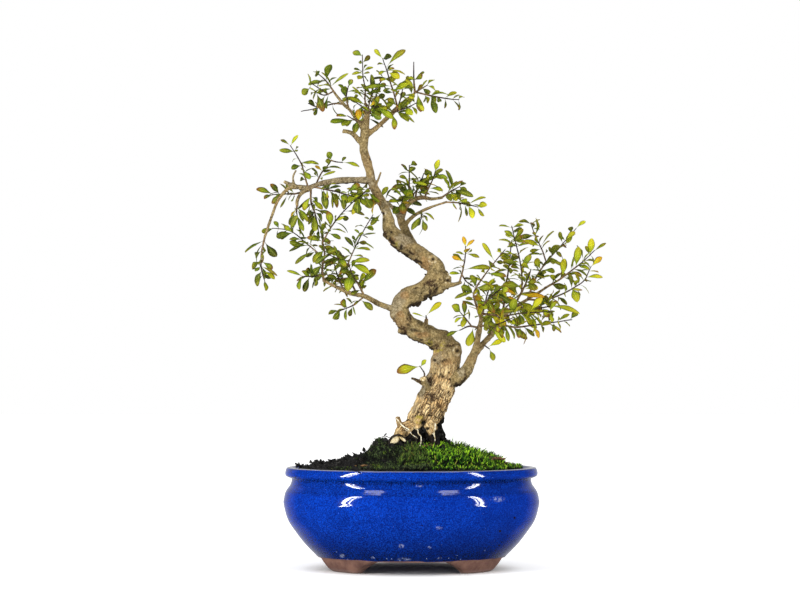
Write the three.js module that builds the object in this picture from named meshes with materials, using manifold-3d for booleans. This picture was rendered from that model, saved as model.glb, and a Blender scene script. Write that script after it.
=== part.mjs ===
// Dwarf pomegranate bonsai: an S-curved trunk with limbs, leafy sprays, moss and soil in a glazed oval pot.
// Millimetres, +Z up, -Y to the front. Everything is laid out from the pot's centre at floor level, and then
// moved so that the origin is the bottom centre of the object's box.
import * as THREE from "three";
import { mergeVertices } from "three/addons/utils/BufferGeometryUtils.js";
import Module from "manifold-3d";

// Driving dimensions of the pot
const POT_HALF_WIDTH = 101.8;
const POT_DEPTH_RATIO = 0.79; // the oval's depth over its width
const POT_SIDES = 32;
const RIM_HEIGHT = 81;
const FLOOR_UNDERSIDE = 11.5;
const FLOOR_TOP = 17.5;
const DRAIN_RADIUS = 6.5;
const DRAIN_SIDES = 12;
const DRAIN_OFFSET = 38; // from the pot's centre, along X
const MESH_SIDE = 21;
const MESH_THICKNESS = 1.2;
const MESH_HOLES = 2; // holes along each side of a drain mesh
const GAP = 0.35; // between neighbouring pieces

// Driving dimensions of the plant
const SOIL_LEVEL = 79.5; // of the flat soil round the mound
const SOIL_RINGS = 6; // rings of soil surface between the pot's wall and the trunk
const MOUND_HEIGHT = 22;
const MOUND_CENTRE = [4, 0];
const TRUNK_SIDES = 10;
const TRUNK_STEPS = 40;
const LIMB_SIDES = 6;
const ROOT_SIDES = 5;
const TWIG_SIDES = 3;
const TWIG_TIP_RADIUS = 0.55;
const LAST_PAIR = 0.97; // share of a twig where its last pair of leaves grows
const LEAF_LENGTH = 15;
const LEAF_WIDTH = 5.8;
const LEAF_THICKNESS = 0.8;
const LEAF_OPEN = 58; // degrees between a leaf and its twig
const LEAF_SUNK = 0.28; // how far off the twig's middle a leaf is rooted, as a share of the radius
const LEAF_ROLL = 200; // degrees over which leaves turn about their ribs
const LEAF_TRIES = 5; // places tried for a leaf before it is left off
const LEAF_CLEARANCE = 3.6; // between sample points of two leaves
const STEM_SPACING = 2; // between sample points along a stem

const wasm = await Module();
wasm.setup();

const FINISH = {
  glaze: new THREE.MeshStandardMaterial({ color: 0x1238b4, roughness: 0.12, metalness: 0 }),
  mesh: new THREE.MeshStandardMaterial({ color: 0x1d1f1e, roughness: 0.6, metalness: 0 }),
  soil: new THREE.MeshStandardMaterial({ color: 0x1c1713, roughness: 0.95, metalness: 0 }),
  moss: new THREE.MeshStandardMaterial({ color: 0x6ea01a, roughness: 0.9, metalness: 0 }),
  olive: new THREE.MeshStandardMaterial({ color: 0x39421c, roughness: 0.95, metalness: 0 }),
  bark: new THREE.MeshStandardMaterial({ color: 0xa08e6c, roughness: 0.85, metalness: 0 }),
  leaf: new THREE.MeshStandardMaterial({ color: 0x7f9a26, roughness: 0.5, metalness: 0 }),
};

// ---------- shared shape tools ----------

// A closed geometry through rings of points that all have the same count. Each end is closed by a ladder of
// triangles, from the first and last point of its ring to the middle ones.
function loft(rings) {
  const count = rings[0].length;
  const faces = [];
  for (let r = 0; r + 1 < rings.length; r++) {
    for (let i = 0; i < count; i++) {
      const j = (i + 1) % count;
      const [a, b, c, d] = [r * count + i, r * count + j, (r + 1) * count + j, (r + 1) * count + i];
      faces.push(a, b, c, a, c, d);
    }
  }
  const last = (rings.length - 1) * count;
  const close = (a, b, c) => faces.push(c, b, a, last + a, last + b, last + c);
  for (let [low, high] = [0, count - 1]; high - low > 1; high--) {
    close(low, low + 1, high);
    low++;
    if (high - low > 1) close(low, high - 1, high);
  }
  return new THREE.BufferGeometry().setFromPoints(rings.flat()).setIndex(faces);
}

// A closed geometry as a manifold-3d solid with its faces turned outwards.
function solid(geometry) {
  const plain = geometry.clone();
  plain.deleteAttribute("normal");
  plain.deleteAttribute("uv");
  const merged = mergeVertices(plain, 1e-4);
  const made = (triVerts) =>
    new wasm.Manifold(
      new wasm.Mesh({
        numProp: 3,
        vertProperties: new Float32Array(merged.attributes.position.array),
        triVerts: new Uint32Array(triVerts),
      }),
    );
  const shape = made(merged.index.array);
  return shape.volume() > 0 ? shape : made([...merged.index.array].reverse());
}

const joined = (solids) => wasm.Manifold.union(solids);

// The largest of a solid's separate bodies.
function largest(shape) {
  return shape.decompose().sort((a, b) => b.volume() - a.volume())[0];
}

function meshOf(shape, name, material) {
  const made = shape.getMesh();
  const geometry = new THREE.BufferGeometry();
  geometry.setAttribute("position", new THREE.BufferAttribute(new Float32Array(made.vertProperties), 3));
  geometry.setIndex(new THREE.BufferAttribute(new Uint32Array(made.triVerts), 1));
  geometry.computeVertexNormals();
  const mesh = new THREE.Mesh(geometry, material);
  mesh.name = name;
  return mesh;
}

// A repeatable number from 0 to 1 for a whole number k.
function chance(k) {
  const s = Math.sin(k * 12.9898 + 4.1414) * 43758.5453;
  return s - Math.floor(s);
}

const curveOf = (route) =>
  new THREE.CatmullRomCurve3(
    route.map((p) => new THREE.Vector3(p[0], p[1], p[2])),
    false,
    "catmullrom",
    0.5,
  );

// Straight lines from each point of a route to the next, as a stem between its nodes.
function pathOf(route) {
  const points = route.map((p) => new THREE.Vector3(p[0], p[1], p[2]));
  const path = new THREE.CurvePath();
  for (let k = 0; k + 1 < points.length; k++) path.add(new THREE.LineCurve3(points[k], points[k + 1]));
  return path;
}

// Two directions across a tangent: one level, one upwards.
function across(tangent) {
  const side = new THREE.Vector3(tangent.y, -tangent.x, 0);
  if (side.length() < 0.25) side.set(1, 0, 0).addScaledVector(tangent, -tangent.x);
  side.normalize();
  return [side, new THREE.Vector3().crossVectors(side, tangent).normalize()];
}

// Round wood along a curve: radiusAt(u, angle) for each share of it, with its rings carried along untwisted.
function rod(curve, steps, sides, radiusAt) {
  const first = curve.getTangent(0);
  let carried = Math.abs(first.x) < 0.9 ? new THREE.Vector3(1, 0, 0) : new THREE.Vector3(0, 1, 0);
  const rings = [];
  for (let k = 0; k <= steps; k++) {
    const u = k / steps;
    const tangent = curve.getTangent(u);
    const normal = carried.clone().addScaledVector(tangent, -carried.dot(tangent)).normalize();
    const binormal = new THREE.Vector3().crossVectors(tangent, normal);
    const ring = [];
    for (let i = 0; i < sides; i++) {
      const angle = (2 * Math.PI * i) / sides;
      const r = radiusAt(u, angle);
      const point = curve.getPoint(u).addScaledVector(normal, r * Math.cos(angle));
      ring.push(point.addScaledVector(binormal, r * Math.sin(angle)));
    }
    rings.push(ring);
    carried = normal;
  }
  return loft(rings);
}

// A rod through every point of a route, tapering from its foot to its tip.
function taper(route, foot, tip, sides) {
  return rod(curveOf(route), route.length - 1, sides, (u) => foot + (tip - foot) * u);
}

// ---------- pot: one fired piece, a glazed oval bowl on four bare clay feet ----------

// Half width and height of the section, up the outside, over the rim and down the inside.
const POT_SECTION = [
  [0, FLOOR_UNDERSIDE],
  [72, FLOOR_UNDERSIDE],
  [75, FLOOR_UNDERSIDE - 1.1],
  [84.5, 20],
  [92, 29.5],
  [98.5, 39.5],
  [POT_HALF_WIDTH, 51.5],
  [99.6, 62],
  [95.9, 68.4],
  [99.6, 71.6],
  [100.6, 76.4],
  [97.4, RIM_HEIGHT],
  [92.4, RIM_HEIGHT - 0.6],
  [90, 74],
  [92.6, 52],
  [82, 27],
  [64, FLOOR_TOP],
  [0, FLOOR_TOP],
];
const INNER_FIRST = 13; // where the inside wall starts in POT_SECTION

// An oval body turned from a section: LatheGeometry turns about Y, so it is stood up and flattened in depth.
function oval(section) {
  const profile = section.map(([x, z]) => new THREE.Vector2(x, z));
  return new THREE.LatheGeometry(profile, POT_SIDES).rotateX(Math.PI / 2).scale(1, POT_DEPTH_RATIO, 1);
}

// A foot's levels: height, outer and inner half width, and the angles from the pot's end that it spans.
const FOOT_LEVELS = [
  [0, 66, 58, 27.5, 57],
  [1.6, 68.6, 57, 25.5, 59.5],
  [6, 71.6, 56.5, 21, 65],
  [12.2, 75.4, 56, 15.5, 72],
];
const FOOT_STEPS = 3;

function foot(mirrorX, mirrorY) {
  const rings = FOOT_LEVELS.map(([z, outer, inner, from, to]) => {
    const arc = (half, backwards) =>
      Array.from({ length: FOOT_STEPS + 1 }, (_, i) => {
        const share = backwards ? 1 - i / FOOT_STEPS : i / FOOT_STEPS;
        const angle = THREE.MathUtils.degToRad(from + (to - from) * share);
        const depth = half * POT_DEPTH_RATIO * Math.sin(angle);
        return new THREE.Vector3(mirrorX * half * Math.cos(angle), mirrorY * depth, z);
      });
    return [...arc(outer, false), ...arc(inner, true)];
  });
  return solid(loft(rings));
}

function drainHole(x, radius, low, high) {
  const hole = new THREE.CylinderGeometry(radius, radius, high - low, DRAIN_SIDES);
  return solid(hole.rotateX(Math.PI / 2).translate(x, 0, (low + high) / 2));
}

function pot() {
  const feet = [-1, 1].flatMap((sx) => [-1, 1].map((sy) => foot(sx, sy)));
  const drains = [-1, 1].map((side) =>
    drainHole(side * DRAIN_OFFSET, DRAIN_RADIUS, FLOOR_UNDERSIDE - 5, FLOOR_TOP + 5),
  );
  return joined([solid(oval(POT_SECTION)), ...feet]).subtract(joined(drains));
}

// A square of plastic mesh that keeps the soil from falling through a drain hole.
function drainMesh(x) {
  const plate = new THREE.BoxGeometry(MESH_SIDE, MESH_SIDE, MESH_THICKNESS);
  const pitch = MESH_SIDE / (MESH_HOLES + 0.6);
  const holes = [];
  for (let i = 0; i < MESH_HOLES; i++) {
    for (let j = 0; j < MESH_HOLES; j++) {
      const hole = new THREE.BoxGeometry(0.72 * pitch, 0.72 * pitch, 2 * MESH_THICKNESS);
      const middle = (MESH_HOLES - 1) / 2;
      holes.push(solid(hole.translate((i - middle) * pitch, (j - middle) * pitch, 0)));
    }
  }
  const height = FLOOR_TOP + GAP + MESH_THICKNESS / 2;
  return solid(plate).subtract(joined(holes)).translate(x, 0, height);
}

// ---------- soil: fills the pot and rises to a mound round the trunk ----------

// Height of the soil at a place: flat by the wall, with crumbs, and a mound round the trunk.
function soilHeight(x, y) {
  const [cx, cy] = MOUND_CENTRE;
  const shoulder = Math.hypot((x - cx) / (x < cx ? 40 : 37), (y - cy) / 40);
  const mound = MOUND_HEIGHT / (1 + Math.pow(shoulder, 4.5));
  const crumbs = 0.9 * Math.sin(x * 0.71 + 1.3) * Math.sin(y * 0.83 + 0.4);
  return SOIL_LEVEL + mound + crumbs;
}

// The point of the soil's surface on a ring, counted inwards from the wall, and a side of the pot.
function ground(ring, side) {
  const half = (POT_SECTION[INNER_FIRST][0] - 2 * GAP) * (1 - ring / (SOIL_RINGS + 0.7));
  const angle = (2 * Math.PI * side) / POT_SIDES;
  const [x, y] = [half * Math.cos(angle), half * POT_DEPTH_RATIO * Math.sin(angle)];
  return new THREE.Vector3(x, y, soilHeight(x, y) - (ring === 0 ? 2.2 : 0));
}

function soil(woodRoom) {
  const wall = POT_SECTION.slice(INNER_FIRST, -1).map(([x, z]) => [x - 2 * GAP, z]);
  wall.reverse();
  wall[0][1] += GAP;
  const sides = Array.from({ length: POT_SIDES }, (_, i) => i);
  const rings = wall.map(([half, z]) =>
    sides.map((side) => {
      const angle = (2 * Math.PI * side) / POT_SIDES;
      return new THREE.Vector3(half * Math.cos(angle), half * POT_DEPTH_RATIO * Math.sin(angle), z);
    }),
  );
  for (let ring = 0; ring <= SOIL_RINGS; ring++) rings.push(sides.map((side) => ground(ring, side)));
  const pockets = [-1, 1].map((side) => {
    const room = MESH_SIDE + 2 * GAP;
    const box = new THREE.BoxGeometry(room, room, 2 * (MESH_THICKNESS + 2 * GAP));
    return solid(box.translate(side * DRAIN_OFFSET, 0, FLOOR_TOP));
  });
  return largest(solid(loft(rings)).subtract(joined([...pockets, woodRoom])));
}

// ---------- moss: low cushions that lie on the soil ----------

// A cushion spans some of the pot's sides, and the soil's rings from an outer to an inner one.
const MOSSES = [
  { name: "moss_bright", finish: "moss", from: -8, to: 5, outer: 1, inner: 5, thick: 4.4 },
  { name: "moss_olive", finish: "olive", from: -15, to: -9, outer: 3, inner: 5, thick: 2.8 },
];
const MOSS_MARGIN = 1; // thickness of a cushion at its edge

function cushion({ from, to, outer, inner, thick }, woodRoom) {
  const rings = [];
  for (let side = from; side <= to; side++) {
    const [top, bottom] = [[], []];
    for (let ring = outer; ring <= inner; ring++) {
      const low = ground(ring, side);
      low.z += GAP;
      const edge = [from, to].includes(side) || [outer, inner].includes(ring);
      const bump = 0.9 * Math.sin(2.1 * side + 1.7 * ring);
      bottom.push(low);
      top.push(low.clone().setZ(low.z + (edge ? MOSS_MARGIN : thick + bump)));
    }
    rings.push([...bottom, ...top.reverse()]);
  }
  return largest(solid(loft(rings)).subtract(woodRoom));
}

// ---------- trunk, limbs and roots: one piece of wood ----------

// The trunk's centre line and its radius, from below the soil to the crown's fork.
const TRUNK = [
  [2, 2, 90, 15],
  [5, 1, 104, 14],
  [9, 0, 118, 12.4],
  [16, 1, 132, 12.2],
  [22.5, 3, 146, 11.6],
  [26.5, 5, 159, 10.8],
  [28, 6, 171, 10.8],
  [24.4, 6, 180.4, 9.4],
  [14.5, 3, 186, 7.7],
  [2, -1, 191.5, 7.8],
  [-7.8, -5, 201.5, 7.6],
  [-8, -7, 211.5, 7.3],
  [1.8, -7, 218.2, 7.5],
  [12.5, -4, 224, 7.2],
  [19.8, 0, 232, 7.9],
  [19.5, 4, 241.5, 7.4],
  [10, 6, 248.7, 6.8],
  [-0.6, 5, 256.2, 6.6],
  [-11, 2, 263.4, 6.5],
  [-17.2, -1, 272, 5.3],
  [-18.5, -3, 280, 4.3],
  [-21.8, -4, 289, 3.8],
  [-27.6, -4, 299.5, 3.5],
  [-31.8, -3, 309.5, 3.5],
  [-34, -2, 320, 3.5],
  [-37, -1, 330, 3.6],
  [-38.4, 0, 337, 3.4],
  [-37.8, 1, 346, 3.6],
  [-37, 1, 354, 3.1],
  [-36, 1, 361, 2.5],
  [-35, 1, 368, 1.6],
];

// Limbs, stubs and roots: radius at the foot and at the tip, then the route.
const LIMBS = {
  left_arm: [
    2.7, 1.9,
    [-31, -3, 310], [-45, -6, 310], [-60, -9, 309], [-73, -12, 306.5], [-84, -14, 302],
  ],
  left_arm_end: [1.8, 1.4, [-82, -14, 302.5], [-93, -15, 304.5], [-101.5, -15, 308]],
  left_arm_peg: [1, 0.8, [-93, -15, 304], [-94, -17, 311], [-91.5, -18, 317]],
  left_arm_droop: [
    1.5, 1,
    [-91, -15, 304], [-98, -17, 302], [-105.5, -20, 293], [-110, -23, 281], [-116, -27, 262],
  ],
  left_arm_under: [1.6, 1.2, [-82, -14, 302.5], [-88, -12, 298.5], [-91, -10, 293], [-91, -10, 288]],
  low_left: [
    2.5, 1.2,
    [-9, -6, 205], [-25, -12, 210.5], [-37, -16, 216.5], [-50, -20, 219.5], [-70, -26, 229],
  ],
  mid_limb: [3.6, 2.9, [6, 6, 252], [0, 12, 262], [-5, 17, 272], [-8, 20, 279], [-9.5, 22, 285]],
  mid_stub: [2.1, 1.5, [-9, 22, 282], [-13, 24, 288], [-20, 26, 295.5]],
  mid_upper: [
    2.4, 1.2,
    [-9, 22, 282], [-4, 24, 291], [1, 26, 296.5], [9, 28, 299], [17, 30, 298], [26, 32, 299.5],
  ],
  mid_lower: [1.7, 1, [-6, 18, 275], [-0.5, 17, 281], [6, 15, 285.5], [15, 12, 289.5], [29, 9, 294]],
  knot_limb: [2.9, 1.3, [13, -3, 216], [22, -5, 221], [28, -6, 225.5], [34, -7, 226.3], [40, -8, 228.5]],
  knot_stub: [2.4, 1.6, [27, -6, 224], [29.5, -4, 229], [30, -2, 233.5]],
  right_limb: [6, 3.1, [26, 3, 149], [37, -1, 151.5], [43.5, -3, 158], [48, -5, 167], [51.5, -6, 174.5]],
  right_inner: [2.4, 1.9, [51, -6, 173], [52.8, -9, 184.6], [54.7, -11, 194.3], [55.6, -13, 200]],
  right_outer: [
    2.4, 1.5,
    [51, -6, 172.5], [58.5, -4, 180.7], [65.3, -2, 188.5], [73, 4, 201], [83, 9, 209],
  ],
  right_reach: [1.6, 1, [82, 8.5, 208], [95, 13, 216], [110, 16, 225.5]],
  crown_left: [1.9, 1, [-38, 1, 351], [-43, -3, 358], [-49, -6, 366], [-55, -9, 371.5], [-62, -12, 380]],
  crown_stub: [2.3, 1.8, [-38, 0, 339], [-43, -2, 343.5], [-48, -4, 348], [-55, -6, 349.5]],
  crown_right: [2.1, 1.5, [-37, 1, 346], [-26, 4, 355], [-18.5, 6, 362.5], [-10, 8, 371], [-2, 10, 378]],
  scar_stub: [4.2, 3.3, [-9, 1, 263], [-17, -5, 265.5], [-20.5, -8, 268]],
  low_stub: [3, 1.6, [19, -2, 141], [12, -7, 147], [7.5, -9, 151], [2, -10, 151.5]],
  mid_peg: [1.9, 1.2, [11, -2, 189], [11.5, -10, 197], [12, -12, 201.5]],
  upper_peg: [1.2, 0.8, [-30, -3, 305], [-27, -5, 309.5], [-24.3, -7, 316.5]],
};

const ROOTS = {
  left_root: [5.6, 3, [6, -3, 114], [-5, -8, 112], [-10.5, -12, 106], [-13, -17, 101]],
  left_stub: [2.4, 1.7, [-6, -8, 110], [-9.5, -9, 115], [-11, -9, 121]],
  front_root: [5.2, 2.6, [13, -6, 114], [17, -13, 105], [21, -23, 96], [25, -34, 88]],
  right_root: [5.4, 2.4, [16, 2, 117], [24, 3, 106], [34, 5, 97], [46, 8, 86]],
  back_root: [5.4, 2.4, [10, 8, 114], [6, 17, 103], [1, 29, 92], [-4, 41, 82]],
  far_left_root: [4.8, 2.2, [0, 4, 108], [-12, 6, 100], [-26, 9, 90], [-40, 12, 80]],
};

// Burrs that stand out of the trunk: centre and half sizes.
const BURRS = [
  [34, 4, 172.5, 6.5, 6, 9.5],
  [-5.5, -3, 190, 5.6, 5, 3.6],
  [27, -1, 233, 3.4, 4, 5],
  [18.5, 5, 122, 8, 8, 10],
];

function trunkRadius(u) {
  const place = u * (TRUNK.length - 1);
  const k = Math.min(Math.floor(place), TRUNK.length - 2);
  return TRUNK[k][3] + (TRUNK[k + 1][3] - TRUNK[k][3]) * (place - k);
}

// Ribs that run up the lower trunk and die out as it climbs.
function fluting(u, angle) {
  return 1 + (0.09 * Math.sin(3 * angle + 7 * u) + 0.05 * Math.sin(5 * angle - 11 * u)) * (1 - 0.6 * u);
}

function trunkBody(grow) {
  const radiusAt = (u, angle) => trunkRadius(u) * fluting(u, angle) + grow;
  return solid(rod(curveOf(TRUNK), TRUNK_STEPS, TRUNK_SIDES, radiusAt));
}

// A limb or a root, its radius and its end larger by grow.
function branch([foot, tip, ...route], sides, grow) {
  const [before, end] = route.slice(-2).map((p) => new THREE.Vector3(...p));
  const reach = end.clone().sub(before).setLength(grow).add(end);
  return solid(taper([...route.slice(0, -1), reach.toArray()], foot + grow, tip + grow, sides));
}

function burr([x, y, z, a, b, c], grow) {
  const ball = new THREE.IcosahedronGeometry(1.12, 0).scale(a + grow, b + grow, c + grow);
  return solid(ball.translate(x, y, z));
}

// The whole of the wood, or the room that it takes when every radius is larger by grow.
function woodBody(grow) {
  return joined([
    trunkBody(grow),
    ...Object.values(LIMBS).map((limb) => branch(limb, LIMB_SIDES, grow)),
    ...Object.values(ROOTS).map((root) => branch(root, ROOT_SIDES, grow)),
    ...BURRS.map((b) => burr(b, grow)),
  ]);
}

// ---------- leafy sprays ----------

// Each spray is one leafy stem with its side twigs. A twig has its radius at the foot, how many pairs of leaves
// it carries and from which share of its length, its route, and its single leaves, each with the share of the
// twig where it grows, the place of its tip and its width.
const SPRAYS = {
  crown_leader: [
    {
      foot: 1, pairs: 2, from: 0.05,
      route: [[-35, 1, 366], [-37.3, 0, 375], [-37, -1, 384], [-38.8, -2, 394], [-39.3, -2, 411.5]],
      singles: [
        [0.1, -49, -6, 377, 4.2], [0.2, -47.5, -9, 383.5, 3.6], [0.63, -43, -8, 391, 5],
        [0.68, -47, -3, 397.5, 3.2], [0.66, -34.5, -6, 397, 3], [0.64, -35, 5, 391.5, 3.4],
        [0.85, -41.5, -4, 406, 3.6],
      ],
    },
  ],
  crown_left_tip: [
    {
      foot: 1, pairs: 3, from: 0.25,
      route: [[-61, -12, 379], [-68, -13, 388.5], [-73.7, -14, 393.5]],
      singles: [[0.3, -50, -16, 394, 3]],
    },
    {
      foot: 0.8, pairs: 2, from: 0.35,
      route: [[-62, -12, 380.5], [-70, -15, 377], [-81, -18, 382.5]],
      singles: [[0.75, -70, -23, 364.5, 6.5]],
    },
    {
      foot: 0.7, pairs: 0, from: 0,
      route: [[-67, -14, 378], [-73, -12, 382.5], [-81, -10, 388]],
      singles: [],
    },
  ],
  crown_left_spur: [
    {
      foot: 0.9, pairs: 0, from: 0,
      route: [[-54, -9, 370.5], [-62, -5, 371.5], [-72, 0, 369.5], [-89, 5, 366.5]],
      singles: [],
    },
    {
      foot: 0.7, pairs: 0, from: 0,
      route: [[-68, -2, 370], [-76, -5, 369], [-82.5, -7, 371.5]],
      singles: [],
    },
  ],
  crown_inner: [
    {
      foot: 0.9, pairs: 2, from: 0.4,
      route: [[-50, -6.5, 367], [-52, -10, 376], [-50, -12, 385]],
      singles: [[0.9, -47.5, -14, 390, 4.6]],
    },
  ],
  crown_basal_left: [
    {
      foot: 1.1, pairs: 1, from: 0.4,
      route: [[-38, 0, 357], [-45, -7, 358], [-51, -12, 361]],
      singles: [
        [0.5, -64, -15, 354, 6.4], [0.6, -54.5, -16, 352.5, 7], [0.9, -58, -19, 360, 5.8],
        [0.3, -43, -12, 366, 6.6], [0.4, -45, -16, 349, 6],
      ],
    },
  ],
  crown_basal_right: [
    {
      foot: 1.1, pairs: 1, from: 0.5,
      route: [[-36, 1, 362], [-31, -5, 367.5], [-26, -10, 368.5]],
      singles: [[0.8, -14.5, -16, 358, 6.6], [0.9, -19, -6, 365, 7], [0.5, -26, -13, 360.5, 6]],
    },
  ],
  crown_back: [
    {
      foot: 1.1, pairs: 3, from: 0.3,
      route: [[-37, 1, 357], [-34, 10, 365], [-30, 19, 374], [-28, 26, 384]],
      singles: [],
    },
    {
      foot: 0.8, pairs: 1, from: 0.5,
      route: [[-32, 14, 369], [-40, 22, 373], [-48, 28, 379]],
      singles: [],
    },
  ],
  crown_mid: [
    {
      foot: 1, pairs: 1, from: 0.3,
      route: [[-11, 8, 370], [-14, 5, 381], [-17.5, 2, 391.5], [-20, 0, 400], [-23.2, -1, 409]],
      singles: [
        [0.8, -6.5, -3, 416.5, 5.6], [0.74, -5, 6, 400, 3.2], [0.7, -10.5, -6, 393.5, 6.4],
        [0.74, -26, -5, 396.5, 3], [0.42, -35, -7, 386.5, 4.4], [0.36, -21, -8, 384, 3.2],
        [0.2, -19, 0, 370.5, 6], [0.33, -3, 0, 388, 7],
      ],
    },
  ],
  crown_mid_side: [
    {
      foot: 0.9, pairs: 2, from: 0.5,
      route: [[-35.5, 1, 363], [-32.5, 6, 378.5], [-27, 10, 388], [-22, 13, 395]],
      singles: [],
    },
  ],
  crown_right_tip: [
    {
      foot: 1.4, pairs: 1, from: 0.5,
      route: [[-3, 10, 377.2], [5, 11, 384], [13.2, 12, 389]],
      singles: [[0.5, 7.5, 4, 366, 6.2], [0.45, -5, 4, 392, 4.6]],
    },
    {
      foot: 1.1, pairs: 0, from: 0,
      route: [[3, 11, 382.5], [2.5, 9, 388], [2, 8, 396], [2, 7, 407]],
      singles: [],
    },
    {
      foot: 0.9, pairs: 2, from: 0.35,
      route: [[4, 11, 383], [17.5, 13, 380], [31, 15, 378], [39, 16, 377.5]],
      singles: [],
    },
  ],
  crown_right_low: [
    {
      foot: 1, pairs: 3, from: 0.3,
      route: [[-18, 6, 363], [-12, 0, 366], [-4, -6, 368], [4, -12, 371]],
      singles: [[0.15, -12, -4, 352, 5]],
    },
    {
      foot: 0.8, pairs: 1, from: 0.5,
      route: [[-12, 0, 366], [-9, -8, 374], [-7, -13, 382]],
      singles: [],
    },
  ],
  left_up: [
    {
      foot: 1, pairs: 1, from: 0.45,
      route: [[-82, -14, 303], [-84.5, -16, 311], [-87, -18, 320.5], [-92, -20, 330], [-96, -22, 336]],
      singles: [
        [0.5, -95.5, -20, 318, 5], [0.55, -76, -23, 322, 3.6], [0.57, -74, -14, 324, 3.4],
        [0.4, -81, -21, 309, 5], [0.98, -103, -23, 341, 3.4], [0.98, -91, -25, 343.5, 3],
        [0.85, -91, -26, 331, 4],
      ],
    },
  ],
  left_top: [
    {
      foot: 0.9, pairs: 1, from: 0.3,
      route: [[-76, -12, 306], [-72, -9, 315], [-67, -6, 321.5], [-64, -4, 326.5]],
      singles: [[0.98, -66.5, -8, 332.5, 6], [0.62, -56, -1, 323, 3], [0.5, -77.5, -6, 321, 3.2]],
    },
    {
      foot: 0.7, pairs: 0, from: 0,
      route: [[-64.5, -4.3, 326], [-60, -2, 325], [-55, -1, 324.5]],
      singles: [[0.95, -42, -2, 323.5, 4.4], [0.9, -53, 2, 330, 3]],
    },
  ],
  left_tip: [
    {
      foot: 1, pairs: 1, from: 0.3,
      route: [[-83, -14, 301.5], [-92, -8, 299], [-101, -4, 299], [-112, -1, 298.5]],
      singles: [[0.95, -124, -3, 304, 5.6], [0.8, -112, -7, 306.5, 5], [0.92, -119, 3, 296, 4]],
    },
  ],
  left_droop_end: [
    {
      foot: 1.1, pairs: 5, from: 0.1,
      route: [[-115.5, -26.5, 264], [-118, -29, 250], [-118, -31, 238], [-115, -33, 227]],
      singles: [],
    },
  ],
  left_under: [
    {
      foot: 1.1, pairs: 1, from: 0.4,
      route: [[-91, -10, 291], [-91.5, -11, 285.5], [-91, -12, 281]],
      singles: [
        [0.3, -82, -14, 277, 4.8], [0.6, -98, -11, 274, 4.4], [0.9, -87, -16, 269, 4.4],
        [0.5, -98, -4, 279, 4],
      ],
    },
  ],
  left_hang: [
    {
      foot: 1, pairs: 4, from: 0.25,
      route: [[-80, -13, 303], [-80, -8, 292], [-77, -3, 283], [-75, 1, 273], [-74, 4, 265]],
      singles: [[0.2, -71, -14, 286, 4.6], [0.45, -63.5, -6, 283.5, 3.6], [0.5, -78, -8, 269, 6]],
    },
  ],
  left_inner: [
    {
      foot: 0.9, pairs: 3, from: 0.35,
      route: [[-78, -13, 304], [-71, -18, 302], [-60, -26, 299], [-48, -33, 295], [-40, -38, 292]],
      singles: [[0.22, -67.5, -24, 286, 6], [0.6, -52, -34, 285, 4.6], [0.95, -43, -40, 281.5, 7]],
    },
  ],
  trunk_left: [
    {
      foot: 1, pairs: 3, from: 0.3,
      route: [[-32, -3, 305], [-38, -12, 299], [-42, -20, 294]],
      singles: [
        [0.3, -46, -10, 303, 6], [0.6, -33, -18, 286, 7.4], [0.8, -45, -22, 281, 5.6],
        [0.9, -36, -26, 288, 5],
      ],
    },
  ],
  trunk_bend_leaf: [
    {
      foot: 0.9, pairs: 0, from: 0,
      route: [[-18, -3, 283], [-22, -7, 283.5], [-24, -9, 284]],
      singles: [[0.9, -31, -13, 273.5, 4.6]],
    },
  ],
  low_left_outer: [
    {
      foot: 1.2, pairs: 5, from: 0.15,
      route: [
        [-69, -26, 228], [-70.5, -24, 238], [-68.7, -21, 250], [-70.5, -18, 260.5], [-71, -16, 268],
      ],
      singles: [
        [0.62, -78, -25, 243.5, 7], [0.35, -79, -28, 231, 6], [0.55, -59, -24, 254, 6.4],
        [0.8, -83, -18, 263, 4.6],
      ],
    },
    {
      foot: 0.8, pairs: 3, from: 0.25,
      route: [
        [-70.5, -18.5, 259], [-63.6, -14, 272], [-55.5, -10, 283], [-47, -6, 292], [-41.5, -3, 299],
      ],
      singles: [[0.3, -66, -18, 284, 6], [0.18, -56, -16, 262, 4.4]],
    },
    {
      foot: 0.8, pairs: 3, from: 0.3,
      route: [[-69.5, -22, 247], [-82, -18, 257.5], [-96, -12, 268.7], [-111, -7, 271.5]],
      singles: [[0.7, -92, -20, 278.5, 6.4], [0.45, -97, -18, 262, 4], [0.2, -92, -24, 242, 3.6]],
    },
    {
      foot: 0.8, pairs: 2, from: 0.4,
      route: [[-69.9, -25, 233], [-77, -29, 232], [-86, -32, 231.5]],
      singles: [[0.95, -97, -36, 236, 3.6]],
    },
  ],
  low_left_mid: [
    {
      foot: 1.2, pairs: 2, from: 0.12,
      route: [[-37, -16, 216], [-42, -20, 226], [-47, -23, 234], [-50, -25, 243]],
      singles: [
        [0.25, -38, -25, 224, 7], [0.3, -28, -22, 237.5, 8], [0.7, -50, -33, 223, 8.4],
        [0.95, -33, -27, 237.5, 6.4], [0.97, -35, -32, 246, 5],
      ],
    },
    {
      foot: 0.7, pairs: 2, from: 0.3,
      route: [[-50, -25, 242], [-45, -28, 253.5], [-36.5, -31, 270], [-30, -33, 280]],
      singles: [],
    },
    {
      foot: 0.8, pairs: 2, from: 0.35,
      route: [[-49.7, -24.7, 241], [-56, -28, 245], [-66, -33, 249]],
      singles: [[0.5, -51, -35, 240, 5.4]],
    },
  ],
  low_left_under: [
    {
      foot: 0.9, pairs: 1, from: 0.4,
      route: [[-38, -16.5, 216], [-46, -22, 209.5], [-57, -27, 204.5]],
      singles: [[0.7, -56, -31, 212, 8.4], [0.15, -32, -24, 207, 5.4]],
    },
  ],
  low_left_rise: [
    {
      foot: 1, pairs: 3, from: 0.3,
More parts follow.
